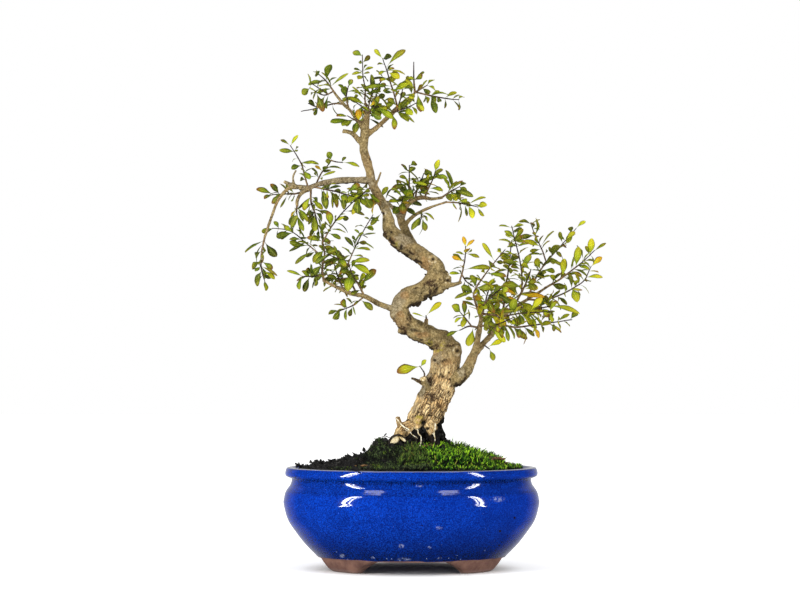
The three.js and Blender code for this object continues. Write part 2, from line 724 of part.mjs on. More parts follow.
      route: [[-53, -21, 220], [-56.5, -16, 228], [-59.5, -11, 235], [-61.5, -6, 243]],
      singles: [],
    },
  ],
  low_left_back: [
    {
      foot: 1.1, pairs: 4, from: 0.2,
      route: [[-43, -18, 217.5], [-47, -6, 226], [-52, 6, 236], [-58, 18, 246], [-62, 28, 255]],
      singles: [],
    },
    {
      foot: 0.8, pairs: 1, from: 0.5,
      route: [[-50, 2, 232], [-60, 6, 232], [-70, 8, 236]],
      singles: [],
    },
  ],
  mid_stub_leaves: [
    {
      foot: 1, pairs: 2, from: 0.4,
      route: [[-18.5, 25.5, 294], [-24, 27, 298.5], [-29, 28, 300]],
      singles: [[0.6, -20, 24, 308, 4.6]],
    },
  ],
  mid_rod: [
    {
      foot: 1, pairs: 1, from: 0.35,
      route: [[0, 25.6, 295.5], [-1.5, 23, 304], [-1.5, 22, 312], [-1.5, 21, 325]],
      singles: [[0.48, -15, 15, 307, 5.4], [0.5, 11, 17, 312, 4], [0.36, -2.5, 12, 300, 9.4]],
    },
  ],
  mid_rise_a: [
    {
      foot: 1, pairs: 3, from: 0.3,
      route: [[3, 26.5, 297], [5, 32, 306], [8.5, 36, 314], [10.5, 38, 320]],
      singles: [],
    },
  ],
  mid_rise_b: [
    {
      foot: 1, pairs: 3, from: 0.35,
      route: [[11, 28.5, 299], [14.5, 25, 307], [18, 23, 314.5], [20, 22, 321]],
      singles: [[0.95, 21.5, 18, 328, 4.6], [0.8, 29, 20, 316, 4]],
    },
  ],
  mid_tip: [
    {
      foot: 1.1, pairs: 3, from: 0.3,
      route: [[25, 31.8, 299.3], [33, 35, 305], [40, 38, 309]],
      singles: [[0.4, 38, 30, 297, 4.6]],
    },
  ],
  mid_low_tip: [
    {
      foot: 0.9, pairs: 3, from: 0.35,
      route: [[28, 9.2, 293.6], [37, 7, 293], [46, 5, 291], [54, 3, 289]],
      singles: [],
    },
  ],
  mid_low_drop: [
    {
      foot: 0.9, pairs: 1, from: 0.5,
      route: [[8, 14.3, 286.3], [8.5, 9, 283], [7.5, 5, 279]],
      singles: [[0.5, 2, 2, 272.5, 5.4], [0.8, 12, 2, 271, 5]],
    },
  ],
  mid_front: [
    {
      foot: 1.1, pairs: 3, from: 0.3,
      route: [[-9, 21, 284], [-8, 12, 291], [-7, 4, 297]],
      singles: [[0.5, -15, 6, 285, 6.6], [0.8, -7, -2, 286, 7]],
    },
  ],
  mid_back: [
    {
      foot: 1.1, pairs: 3, from: 0.25,
      route: [[-5, 23.5, 289], [-1, 34, 298], [5, 43, 307], [10, 50, 314]],
      singles: [],
    },
    {
      foot: 0.8, pairs: 1, from: 0.5,
      route: [[2, 38, 302], [-6, 46, 306], [-13, 52, 311]],
      singles: [],
    },
  ],
  knot_rise: [
    {
      foot: 1, pairs: 2, from: 0.1,
      route: [[38, -7.8, 227.5], [40.5, -9, 236], [42, -10, 243], [43, -11, 251], [43, -12, 257]],
      singles: [
        [0.35, 61, -16, 241, 5], [0.98, 41.5, -14, 264, 3.6], [0.95, 50, -11, 262, 3],
        [0.8, 54, -14, 247.5, 3.6], [0.75, 35, -16, 252, 3], [0.25, 30, -13, 235, 3.4],
      ],
    },
    {
      foot: 0.8, pairs: 2, from: 0.4,
      route: [[40.3, -8.9, 234], [44, -3, 229], [50, 2, 225]],
      singles: [],
    },
  ],
  right_inner: [
    {
      foot: 1.4, pairs: 4, from: 0.12,
      route: [[55.3, -13, 198.5], [51, -15, 211], [50, -17, 221], [61.5, -22, 238], [74, -26, 253.5]],
      singles: [
        [0.35, 35, -20, 216.5, 4], [0.8, 55, -27, 257, 4.8], [0.62, 75, -22, 232, 5.4],
        [0.25, 60, -24, 208, 8],
      ],
    },
    {
      foot: 1.2, pairs: 4, from: 0.15,
      route: [[54.1, -13.6, 203], [64, -18, 202], [73, -22, 201], [88, -28, 203], [110, -36, 204]],
      singles: [[0.32, 76, -29, 191, 6.6], [0.18, 58, -25, 192, 7], [0.45, 81, -32, 213, 7]],
    },
    {
      foot: 1.1, pairs: 4, from: 0.25,
      route: [[53.6, -13.8, 204], [58, -24, 211], [64, -34, 217], [71, -43, 223]],
      singles: [],
    },
  ],
  right_inner_low: [
    {
      foot: 1.1, pairs: 1, from: 0.4,
      route: [[54, -11, 191.5], [46, -15, 193], [38, -19, 189.5]],
      singles: [[0.95, 27.5, -21, 185.5, 4.6], [0.3, 46.5, -19, 176.5, 7.4]],
    },
    {
      foot: 0.9, pairs: 1, from: 0.5,
      route: [[48, -14, 192.5], [42, -18, 200], [38.5, -20, 204]],
      singles: [[0.95, 33.5, -24, 209, 8], [0.6, 41, -25, 193, 5]],
    },
  ],
  right_fork_leaves: [
    {
      foot: 0.8, pairs: 0, from: 0,
      route: [[57, -4.8, 179], [60, -8, 176.5], [62, -10, 175]],
      singles: [[0.95, 66, -14, 166, 5], [0.7, 71, -12, 182, 5]],
    },
  ],
  right_lower: [
    {
      foot: 1, pairs: 2, from: 0.2,
      route: [[70, 1, 195], [83, -3, 192.5], [97, -5, 194], [112, -7, 196], [128, -8, 198.5]],
      singles: [
        [0.1, 77, -6, 182, 3.6], [0.3, 86, -8, 185, 5.4], [0.75, 113.5, -10, 190, 3.2],
        [0.8, 124, -12, 203, 3.6],
      ],
    },
  ],
  right_centre: [
    {
      foot: 1.2, pairs: 3, from: 0.3,
      route: [[82, 8.5, 208.5], [88, 3, 220], [93, -3, 231], [95.5, -6, 239]],
      singles: [[0.5, 76, -6, 229, 8], [0.7, 99, -14, 222, 7.4]],
    },
    {
      foot: 0.8, pairs: 3, from: 0.4,
      route: [[88.5, 2.5, 221], [89, 8, 233], [87.5, 12, 247.5], [83.5, 16, 265], [81.5, 18, 275]],
      singles: [[0.75, 92, 10, 262, 3.8]],
    },
  ],
  right_centre_back: [
    {
      foot: 1.1, pairs: 4, from: 0.2,
      route: [
        [73, 4, 201.5], [75, 12, 214], [76.5, 17, 226], [79, 21, 240], [81, 25, 256], [82, 27, 264],
      ],
      singles: [],
    },
  ],
  right_high: [
    {
      foot: 1.2, pairs: 5, from: 0.2,
      route: [
        [94, 12.7, 215.5], [98, 20, 226], [103, 26, 236], [111, 32, 247], [120, 37, 257], [136, 44, 275],
      ],
      singles: [[0.97, 128, 40, 264, 5], [0.99, 143, 46, 282, 3.4]],
    },
    {
      foot: 0.8, pairs: 3, from: 0.4,
      route: [[110.5, 31.7, 246], [107, 34, 257], [102, 36, 268], [98, 37, 279]],
      singles: [],
    },
  ],
  right_tip: [
    {
      foot: 1.2, pairs: 5, from: 0.12,
      route: [[108, 15.5, 224.5], [120, 18, 231.5], [130, 19, 239], [140, 20, 247], [149, 21, 255.5]],
      singles: [[0.6, 135, 13, 258, 6.4], [0.95, 158, 20, 261.5, 3.2], [0.9, 146, 15, 265, 6]],
    },
  ],
  right_front_tip: [
    {
      foot: 1.1, pairs: 3, from: 0.35,
      route: [
        [94, 12.5, 215.3], [105, 4, 214.5], [117, -2, 217.5], [129, -6, 223.5], [138, -8, 230],
        [143, -10, 241],
      ],
      singles: [[0.62, 133, -13, 213, 7.4], [0.98, 151, -12, 248, 5.6], [0.85, 152, -8, 234, 4]],
    },
  ],
  right_front_mid: [
    {
      foot: 1.1, pairs: 3, from: 0.25,
      route: [[84, 9, 209.5], [94, 0, 207.5], [104, -7, 208], [113, -13, 209.5]],
      singles: [[0.9, 133, -16, 207, 5], [0.7, 109, -16, 202, 6]],
    },
  ],
  right_back_low: [
    {
      foot: 1.2, pairs: 4, from: 0.2,
      route: [[66, -1.4, 190], [70, 12, 199], [76, 24, 208], [84, 35, 216], [92, 44, 223]],
      singles: [],
    },
    {
      foot: 0.8, pairs: 1, from: 0.5,
      route: [[76, 24, 208], [87, 28, 207], [98, 32, 210]],
      singles: [],
    },
  ],
  right_back_inner: [
    {
      foot: 1.2, pairs: 4, from: 0.25,
      route: [[53, -9, 187], [56, 2, 198], [59, 14, 209], [62, 26, 220], [66, 37, 230]],
      singles: [],
    },
  ],
  right_front_low: [
    {
      foot: 1, pairs: 4, from: 0.3,
      route: [[54.5, -10.7, 193.5], [62, -24, 193], [70, -35, 195], [79, -44, 199]],
      singles: [],
    },
  ],
  low_stub_leaf: [
    {
      foot: 1.1, pairs: 0, from: 0,
      route: [[8, -9, 151], [10, -11, 157], [9.3, -12.5, 161]],
      singles: [[0.9, -10.5, -16, 154.5, 7.6], [0.95, 10.5, -15, 169, 4]],
    },
  ],
  mid_peg_leaf: [
    {
      foot: 1, pairs: 0, from: 0,
      route: [[12, -11.7, 200.5], [12.2, -13, 204]],
      singles: [[0.85, 22.5, -17, 211.5, 5.6]],
    },
  ],
};

// ---------- leaves ----------

// The outline as shares of length, of half width and of thickness.
const BLADE_ROWS = [
  [0.34, 0.82, 1],
  [0.68, 0.94, 0.8],
];
const SAMPLE_SHARES = [0.28, 0.44, 0.6, 0.76, 0.93];
const SAMPLE_SIDES = [-0.3, 0.3];

// A leaf's frame: its root, its direction, its upper side, its length and width, and how far it arches back.
function leafFrame(base, direction, up, length, width, arch) {
  const along = direction.clone().normalize();
  const normal = up.clone().addScaledVector(along, -up.dot(along)).normalize();
  const side = new THREE.Vector3().crossVectors(along, normal);
  return { base, along, normal, side, length, width, arch };
}

// The point of a leaf at a share of its length, off to one side and above its middle.
function leafPoint(leaf, share, off, above) {
  return leaf.base
    .clone()
    .addScaledVector(leaf.along, leaf.length * share * (1 - 0.35 * leaf.arch * share))
    .addScaledVector(leaf.normal, above - leaf.length * leaf.arch * share * share + 0.25 * Math.abs(off))
    .addScaledVector(leaf.side, off);
}

// A blade flat on top and keeled along its rib below, with a sharp margin, a pointed tip and a pointed root.
function blade(leaf) {
  const rows = BLADE_ROWS.map(([share, half, thick]) => {
    const off = (leaf.width / 2) * half;
    return [
      leafPoint(leaf, share, -off, 0),
      leafPoint(leaf, share, off, 0),
      leafPoint(leaf, share, 0, -LEAF_THICKNESS * thick),
    ];
  });
  const points = [leafPoint(leaf, 0, 0, 0), ...rows.flat(), leafPoint(leaf, 1, 0, 0)];
  const last = points.length - 1;
  const faces = [];
  for (let i = 0; i < 3; i++) {
    const j = (i + 1) % 3;
    faces.push(0, 1 + j, 1 + i, last, last - 3 + i, last - 3 + j);
    faces.push(1 + i, 1 + j, 4 + j, 1 + i, 4 + j, 4 + i);
  }
  return solid(new THREE.BufferGeometry().setFromPoints(points).setIndex(faces));
}

const samplesOf = (leaf) =>
  SAMPLE_SHARES.flatMap((share) => SAMPLE_SIDES.map((s) => leafPoint(leaf, share, s * leaf.width, 0)));

// Points along every stem, with their radius, that leaves keep clear of.
function stemSamples() {
  const found = [];
  const follow = (route, foot, tip, owner) => {
    const path = pathOf(route);
    const steps = Math.ceil(path.getLength() / STEM_SPACING);
    for (let k = 0; k <= steps; k++) {
      const u = k / steps;
      found.push({ at: path.getPoint(u), radius: foot + (tip - foot) * u, owner });
    }
  };
  for (let k = 0; k + 1 < TRUNK.length; k++) follow(TRUNK.slice(k, k + 2), TRUNK[k][3], TRUNK[k + 1][3], "");
  for (const [foot, tip, ...route] of Object.values(LIMBS)) follow(route, foot, tip, "");
  for (const [name, twigs] of Object.entries(SPRAYS)) {
    twigs.forEach(({ foot, route }, t) => follow(route, foot, TWIG_TIP_RADIUS, name + t));
  }
  return found;
}

const UP = new THREE.Vector3(0, 0, 1);

// Single leaves turn their upper side forwards and upwards.
const FACING = new THREE.Vector3(0, -0.8, 0.55);

// Where a leaf is rooted: inside the twig, a little off its middle towards the leaf.
function root(twig, share, direction) {
  const radius = twig.foot + (TWIG_TIP_RADIUS - twig.foot) * share;
  return twig.path.getPoint(share).addScaledVector(direction.clone().normalize(), LEAF_SUNK * radius);
}

// A single leaf that reaches for a given tip.
function reachingLeaf(twig, [share, x, y, z, width]) {
  const base = root(twig, share, new THREE.Vector3(x, y, z).sub(twig.path.getPoint(share)));
  const reach = new THREE.Vector3(x, y, z).sub(base);
  const arch = 0.16;
  const length = reach.length() * 1.04;
  const face = FACING.clone().addScaledVector(reach, -FACING.dot(reach) / reach.lengthSq()).normalize();
  return leafFrame(base, reach.addScaledVector(face, arch * length), face, length, width, arch);
}

// A leaf of the rule: opposite pairs, each pair turned a quarter from the last.
function pairedLeaf(twig, share, pair, half, seed, attempt) {
  const tangent = twig.path.getTangent(share);
  const [level, upward] = across(tangent);
  const turn = pair * 90 + half * 180 + (chance(seed) - 0.5) * 50 + attempt * 37;
  const open = THREE.MathUtils.degToRad(LEAF_OPEN + (chance(seed + 0.3) - 0.5) * 30 - attempt * 4);
  const angle = THREE.MathUtils.degToRad(turn + 35);
  const outward = level.clone().multiplyScalar(Math.cos(angle)).addScaledVector(upward, Math.sin(angle));
  const direction = tangent.clone().multiplyScalar(Math.cos(open)).addScaledVector(outward, Math.sin(open));
  const shorter = 1 - 0.3 * Math.max(0, share - 0.6) * 2.5;
  const length = LEAF_LENGTH * (0.78 + 0.5 * chance(seed + 0.6)) * shorter;
  const width = LEAF_WIDTH * (0.8 + 0.4 * chance(seed + 0.9)) * (0.6 + 0.4 * shorter);
  const roll = THREE.MathUtils.degToRad((chance(seed + 0.2) - 0.5) * LEAF_ROLL);
  const up = UP.clone().applyAxisAngle(direction.clone().normalize(), roll);
  const arch = 0.1 + 0.16 * chance(seed + 0.5);
  return leafFrame(root(twig, share, direction), direction, up, length, width, arch);
}

function isClear(points, leaves, stems, owner) {
  const least = LEAF_CLEARANCE;
  if (leaves.some((other) => points.some((p) => p.distanceTo(other) < least))) return false;
  return !stems.some((s) => points.some((p) => p.distanceTo(s.at) < s.radius + (s.owner === owner ? 1 : 2)));
}

// The first of a leaf's places that is clear of every other leaf and stem, or none.
function roomyLeaf(twig, share, pair, half, seed, taken, stems, owner) {
  for (let attempt = 0; attempt < LEAF_TRIES; attempt++) {
    const leaf = pairedLeaf(twig, share, pair, half, seed, attempt);
    if (isClear(samplesOf(leaf), taken, stems, owner)) return leaf;
  }
  return null;
}

// All leaves, spray by spray: the single ones first, and then the pairs wherever they find room.
function placeLeaves() {
  const stems = stemSamples();
  const taken = [];
  const leaves = Object.fromEntries(Object.keys(SPRAYS).map((name) => [name, []]));
  const keep = (name, leaf) => {
    leaves[name].push(leaf);
    taken.push(...samplesOf(leaf));
  };
  for (const [name, twigs] of Object.entries(SPRAYS)) {
    for (const { foot, route, singles } of twigs) {
      const twig = { foot, path: pathOf(route) };
      for (const single of singles) keep(name, reachingLeaf(twig, single));
    }
  }
  let seed = 1;
  for (const [name, twigs] of Object.entries(SPRAYS)) {
    twigs.forEach(({ foot, pairs, from, route }, t) => {
      const twig = { foot, path: pathOf(route) };
      for (let pair = 0; pair < pairs; pair++) {
        const share = from + (LAST_PAIR - from) * (pairs > 1 ? pair / (pairs - 1) : 1);
        for (const half of [0, 1]) {
          seed += 1;
          const leaf = roomyLeaf(twig, share, pair, half, seed, taken, stems, name + t);
          if (leaf) keep(name, leaf);
        }
      }
    });
  }
  return leaves;
}

function spray(twigs, leaves, woodRoom) {
  const stems = twigs.map(({ foot, route }) => solid(taper(route, foot, TWIG_TIP_RADIUS, TWIG_SIDES)));
  return largest(joined([...stems, ...leaves.map(blade)]).subtract(woodRoom));
}

// ---------- assembly ----------

const woodRoom = woodBody(GAP);
const leaves = placeLeaves();

const bonsai = new THREE.Group();
bonsai.add(meshOf(pot(), "pot", FINISH.glaze));
bonsai.add(meshOf(drainMesh(-DRAIN_OFFSET), "drain_mesh_left", FINISH.mesh));
bonsai.add(meshOf(drainMesh(DRAIN_OFFSET), "drain_mesh_right", FINISH.mesh));
bonsai.add(meshOf(soil(woodRoom), "soil", FINISH.soil));
for (const moss of MOSSES) bonsai.add(meshOf(cushion(moss, woodRoom), moss.name, FINISH[moss.finish]));
bonsai.add(meshOf(largest(woodBody(0)), "trunk", FINISH.bark));
for (const [name, twigs] of Object.entries(SPRAYS)) {
  bonsai.add(meshOf(spray(twigs, leaves[name], woodRoom), `spray_${name}`, FINISH.leaf));
}

const box = new THREE.Box3().setFromObject(bonsai);
const centre = box.getCenter(new THREE.Vector3());
bonsai.position.set(-centre.x, -centre.y, -box.min.z);

export default bonsai;
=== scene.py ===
import bpy
import numpy as np
from mathutils import Matrix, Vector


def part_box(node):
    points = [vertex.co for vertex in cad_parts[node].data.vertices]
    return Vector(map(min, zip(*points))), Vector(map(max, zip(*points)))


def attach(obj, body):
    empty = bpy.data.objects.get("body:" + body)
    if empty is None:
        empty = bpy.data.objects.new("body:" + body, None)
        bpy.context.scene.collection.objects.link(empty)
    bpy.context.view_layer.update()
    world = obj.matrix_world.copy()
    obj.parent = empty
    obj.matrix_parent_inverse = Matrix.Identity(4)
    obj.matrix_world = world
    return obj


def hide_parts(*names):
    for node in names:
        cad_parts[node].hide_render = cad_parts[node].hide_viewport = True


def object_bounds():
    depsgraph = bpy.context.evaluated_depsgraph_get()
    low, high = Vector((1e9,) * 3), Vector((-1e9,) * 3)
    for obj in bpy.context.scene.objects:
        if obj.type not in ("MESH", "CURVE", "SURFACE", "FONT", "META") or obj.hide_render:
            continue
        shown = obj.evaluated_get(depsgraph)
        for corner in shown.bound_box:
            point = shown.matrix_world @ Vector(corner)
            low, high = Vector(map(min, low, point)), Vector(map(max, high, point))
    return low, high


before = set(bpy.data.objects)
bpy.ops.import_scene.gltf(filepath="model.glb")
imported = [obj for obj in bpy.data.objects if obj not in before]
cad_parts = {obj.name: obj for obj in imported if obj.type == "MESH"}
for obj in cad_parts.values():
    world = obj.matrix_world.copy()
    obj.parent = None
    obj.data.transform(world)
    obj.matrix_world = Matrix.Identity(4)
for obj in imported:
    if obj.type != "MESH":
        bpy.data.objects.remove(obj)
cad_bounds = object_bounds()

# ---------- pot ----------
# One fired piece of stoneware: an oval bowl with a rolled rim and a groove under it, on four feet, with two drain
# holes. It is dipped in cobalt glaze down to a line just over the feet, and stays bare clay below.

pot_low, pot_high = (np.array(corner) * 1000 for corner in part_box("pot"))
POT_CENTRE = (pot_low + pot_high) / 2 * [1, 1, 0]
POT_HALF_WIDTH = (pot_high[0] - pot_low[0]) / 2
POT_DEPTH_RATIO = 0.79
POT_SIDES = 224
RIM_HEIGHT = pot_high[2]
GLAZE_LINE = 11.2
# The tones by height hold painted shade: darker towards the foot, in bands at the neck and under the rim's crest, and
# darkest in the groove, where the glaze is also thick. The pale last stop is the glaze breaking thin over the rim's
# top.
GLAZE_AND_SHADE_TONES = [  # share of 82 mm, and the glaze's tone at that height
    (0.13, "01071a"), (0.2, "010b30"), (0.36, "011656"), (0.62, "011e70"), (0.745, "021e72"), (0.766, "011452"),
    (0.792, "021e6c"), (0.857, "011757"), (0.872, "010926"), (0.888, "010926"), (0.903, "011550"), (0.930, "021f70"),
    (0.968, "011d68"), (0.981, "011452"), (0.986, "8f8f90"),
]
UNDERSIDE = [[0.6, 11.5], [36, 11.5], [72, 11.5]]
BELLY = [
    [75, 10.4], [84.5, 20], [92, 29.5], [98.5, 39.5], [POT_HALF_WIDTH, 51.5], [101.6, 56.2], [100.5, 61],
    [98.7, 64.1], [96.7, 66.9], [95.8, 69], [95.4, 71],
]
RIM = [
    [95.4, 71], [95.8, 72.4], [97.8, 73.1], [99.9, 74.2], [100.6, 75.9], [100.3, 78.3], [99.3, 80.5],
    [97.5, RIM_HEIGHT], [95.2, 80.9], [92.4, 79.3],
]
SMEARS = [  # dry, pale smears on the glaze: place across and height, and half width and half height
    [20.3, 38.2, 3.6, 1.7], [-8, 23.9, 2.8, 2.2], [-6, 13.4, 6.5, 1.5], [13.5, 22.9, 2.6, 1.3], [-54, 14.5, 3, 2],
    [66, 59, 7, 2.6], [5.5, 70.5, 4, 1.8], [21, 14, 2.4, 1.1], [-30, 14, 2, 1.5],
]
CHIPS = [[79.5, 44, 1.0], [68, 34, 1.1], [67.8, 22, 0.9], [70, 25, 0.6], [74, 30, 0.5], [-91, 74, 0.8], [48, 30, 0.4]]
INSIDE = [[92.4, 79.3], [90, 74], [92.6, 52], [82, 27], [64, 17.5], [0.6, 17.5]]
FOOT_LEVELS = [  # height, outer and inner half width, and the angles from the pot's end that a foot spans
    [0, 66.5, 58, 20, 50], [1.6, 69, 57, 17, 51.5], [5, 71.4, 56.5, 13.5, 56], [9, 73.8, 56.2, 10.5, 64],
    [12.2, 75.6, 56, 8.5, 76],
]
FOOT_EDGE = 0.9
FOOT_SIDES = 72
DRAIN_OFFSET = 38
DRAIN_RADIUS = 6.5
DRAIN_SIDES = 48
DRAIN_REACH = (5, 25)  # height of the plug's two ends, below and above the bowl's floor


def turns(count):
    """So many angles, evenly round a circle."""
    return np.arange(count) * 2 * np.pi / count


def through(points, steps):
    """A smooth line through points: between two of them it is the cubic whose slope at each point is half the step
    from the point before to the point after. Gives each stretch so many steps, in any number of dimensions."""
    known = np.asarray(points, float)
    row = np.vstack([2 * known[0] - known[1], known, 2 * known[-1] - known[-2]])[:, None]
    before, start, end, after = row[:-3], row[1:-2], row[2:-1], row[3:]
    t = np.linspace(0, 1, steps, endpoint=False)[None, :, None]
    leave, arrive = (end - before) / 2, (after - start) / 2
    line = start * (2 * t**3 - 3 * t**2 + 1) + leave * (t**3 - 2 * t**2 + t)
    line = line + end * (3 * t**2 - 2 * t**3) + arrive * (t**3 - t**2)
    return np.vstack([line.reshape(-1, known.shape[1]), known[-1:]])


def closed_tubes(rings):
    """Joins rings into closed tubes. rings is (tubes, rings, points, 3): the points of one ring join those of the
    next in quads, and a tube's first and last rings are closed by a face each. Gives points and lists of faces."""
    tubes, count, sides, _ = rings.shape
    index = np.arange(tubes * count * sides).reshape(tubes, count, sides)
    near, far = index[:, :-1], index[:, 1:]
    quads = np.stack([near, np.roll(near, -1, 2), np.roll(far, -1, 2), far], -1).reshape(-1, 4)
    return rings.reshape(-1, 3), [quads, np.concatenate([index[:, 0, ::-1], index[:, -1]])]


def mesh_of(name, points, faces, sharp=None):
    """A mesh in metres in the frame from points in millimetres and lists of faces, each list with faces of one
    count of corners. Its shading is smooth, but for edges that turn by more than the sharp angle in degrees."""
    counts = np.concatenate([np.full(len(rows), rows.shape[1]) for rows in faces])
    corners = np.concatenate([rows.ravel() for rows in faces])
    mesh = bpy.data.meshes.new(name)
    mesh.vertices.add(len(points))
    mesh.vertices.foreach_set("co", ((points + POT_CENTRE) * 0.001).astype(np.float32).ravel())
    mesh.loops.add(len(corners))
    mesh.loops.foreach_set("vertex_index", corners.astype(np.int32))
    mesh.polygons.add(len(counts))
    mesh.polygons.foreach_set("loop_start", (np.cumsum(counts) - counts).astype(np.int32))
    mesh.update(calc_edges=True)
    mesh.shade_smooth()
    if sharp:
        mesh.set_sharp_from_angle(angle=np.radians(sharp))
    return mesh


def placed(name, data):
    """An object in the scene for a mesh, a lamp or a camera."""
    made = bpy.data.objects.new(name, data)
    bpy.context.scene.collection.objects.link(made)
    return made


def piece(name, mesh, finishes, stands_for=()):
    """A finished piece at the origin, with its materials, the body it rides on and the CAD nodes it stands for."""
    made = placed(name, mesh)
    mesh.materials.clear()
    for finish in finishes:
        mesh.materials.append(finish)
    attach(made, "root")
    if stands_for:
        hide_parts(*stands_for)
    return made


def worked(body, *helpers):
    """The mesh that an object's modifiers make of it. The object goes, and so do its helpers."""
    made = bpy.data.meshes.new_from_object(body.evaluated_get(bpy.context.evaluated_depsgraph_get()))
    for spare in (body, *helpers):
        bpy.data.objects.remove(spare)
    return made


def combined(base, others, operation):
    """A mesh joined with others, or cut by them, by Blender's exact boolean."""
    body, helpers = placed("body", base), [placed("helper", mesh) for mesh in others]
    for helper in helpers:
        step = body.modifiers.new("step", "BOOLEAN")
        step.operation, step.solver, step.object = operation, "EXACT", helper
    return worked(body, *helpers)


def bowl():
    """The bowl: its section's half width h and height z go round an oval, to h·cos(a), ratio·h·sin(a) and z."""
    inside = through(INSIDE[:-1], 7)[1:]
    section = np.vstack([UNDERSIDE, through(BELLY, 9), through(RIM, 10)[1:], inside, INSIDE[-1:]])
    angle = turns(POT_SIDES)
    half, height = section[:, :1], section[:, 1:]
    across, depth = half * np.cos(angle), POT_DEPTH_RATIO * half * np.sin(angle)
    rings = np.stack([across, depth, np.broadcast_to(height, across.shape)], -1)
    return mesh_of("bowl", *closed_tubes(rings[None]))


def foot(side, front):
    """A foot: at each level an oval sector with rounded corners, where the place round the corner curve gives how
    far along the sector's angle and how far across its width a point lies, by the sixth power of a circle."""
    levels = through(FOOT_LEVELS, 6)
    edge = FOOT_EDGE * np.clip(1 - levels[:, 0] / FOOT_EDGE, 0, 1) ** 2
    levels = np.vstack([levels[:1], [levels[0] + [0.3, 0.4, -0.4, -0.3, 0.3]], levels[1:]])
    edge = np.concatenate([[edge[0]], [0.35 * edge[0]], 0.05 * edge[1:]])
    turn = turns(FOOT_SIDES)
    round_x, round_y = (np.sign(wave) * np.abs(wave) ** (1 / 3) for wave in (np.cos(turn), np.sin(turn)))
    height, outer, inner, first, last = (levels[:, k : k + 1] for k in range(5))
    middle, width = (outer + inner) / 2, (outer - inner) / 2 - edge[:, None]
    swing = (last - first) / 2 - np.degrees(edge[:, None] / middle)
    half = middle + width * round_y
    angle = np.radians((first + last) / 2 + swing * round_x)
    points = [side * half * np.cos(angle), front * POT_DEPTH_RATIO * half * np.sin(angle)]
    rings = np.stack([*points, np.broadcast_to(height, half.shape)], -1)
    if side * front > 0:
        rings = rings[:, ::-1]
    return mesh_of("foot", *closed_tubes(rings[None]))


def drain(offset):
    """A plain round plug that cuts a drain hole through the bowl's floor."""
    turn = turns(DRAIN_SIDES)
    circle = np.stack([offset + DRAIN_RADIUS * np.cos(turn), DRAIN_RADIUS * np.sin(turn)], -1)
    rings = np.stack([np.column_stack([circle, np.full(DRAIN_SIDES, z)]) for z in DRAIN_REACH])
    return mesh_of("drain", *closed_tubes(rings[None]))


def colour(code):
    """A colour written as six sRGB hex digits, in Blender's linear values. A value of another kind stays as it is."""
    if not isinstance(code, str):
        return code
    srgb = np.array([int(code[k : k + 2], 16) for k in (0, 2, 4)]) / 255
    return (*np.where(srgb <= 0.04045, srgb / 12.92, ((srgb + 0.055) / 1.055) ** 2.4), 1.0)


class Nodes:
    """A tree of shader nodes under construction: each call adds one node and gives its first output."""

    def __init__(self, owner):
        owner.use_nodes = True
        self.tree = owner.node_tree

    def add(self, kind, inputs=None, **settings):
        """A node with its own settings, and its inputs by name or number: each a value or another node's output."""
        node = self.tree.nodes.new("ShaderNode" + kind)
        for key, value in settings.items():
            setattr(node, key, value)
        self.join(node, inputs or {})
        return node.outputs[0]

    def join(self, node, inputs):
        for key, value in inputs.items():
            if isinstance(value, bpy.types.NodeSocket):
                self.tree.links.new(value, node.inputs[key])
            else:
                node.inputs[key].default_value = colour(value)

    def eased(self, value, low, high, start, end, **settings):
        """A value that goes from start to end as it goes from low to high."""
        sockets = {"Value": value, "From Min": low, "From Max": high, "To Min": start, "To Max": end}
        return self.add("MapRange", sockets, **settings)


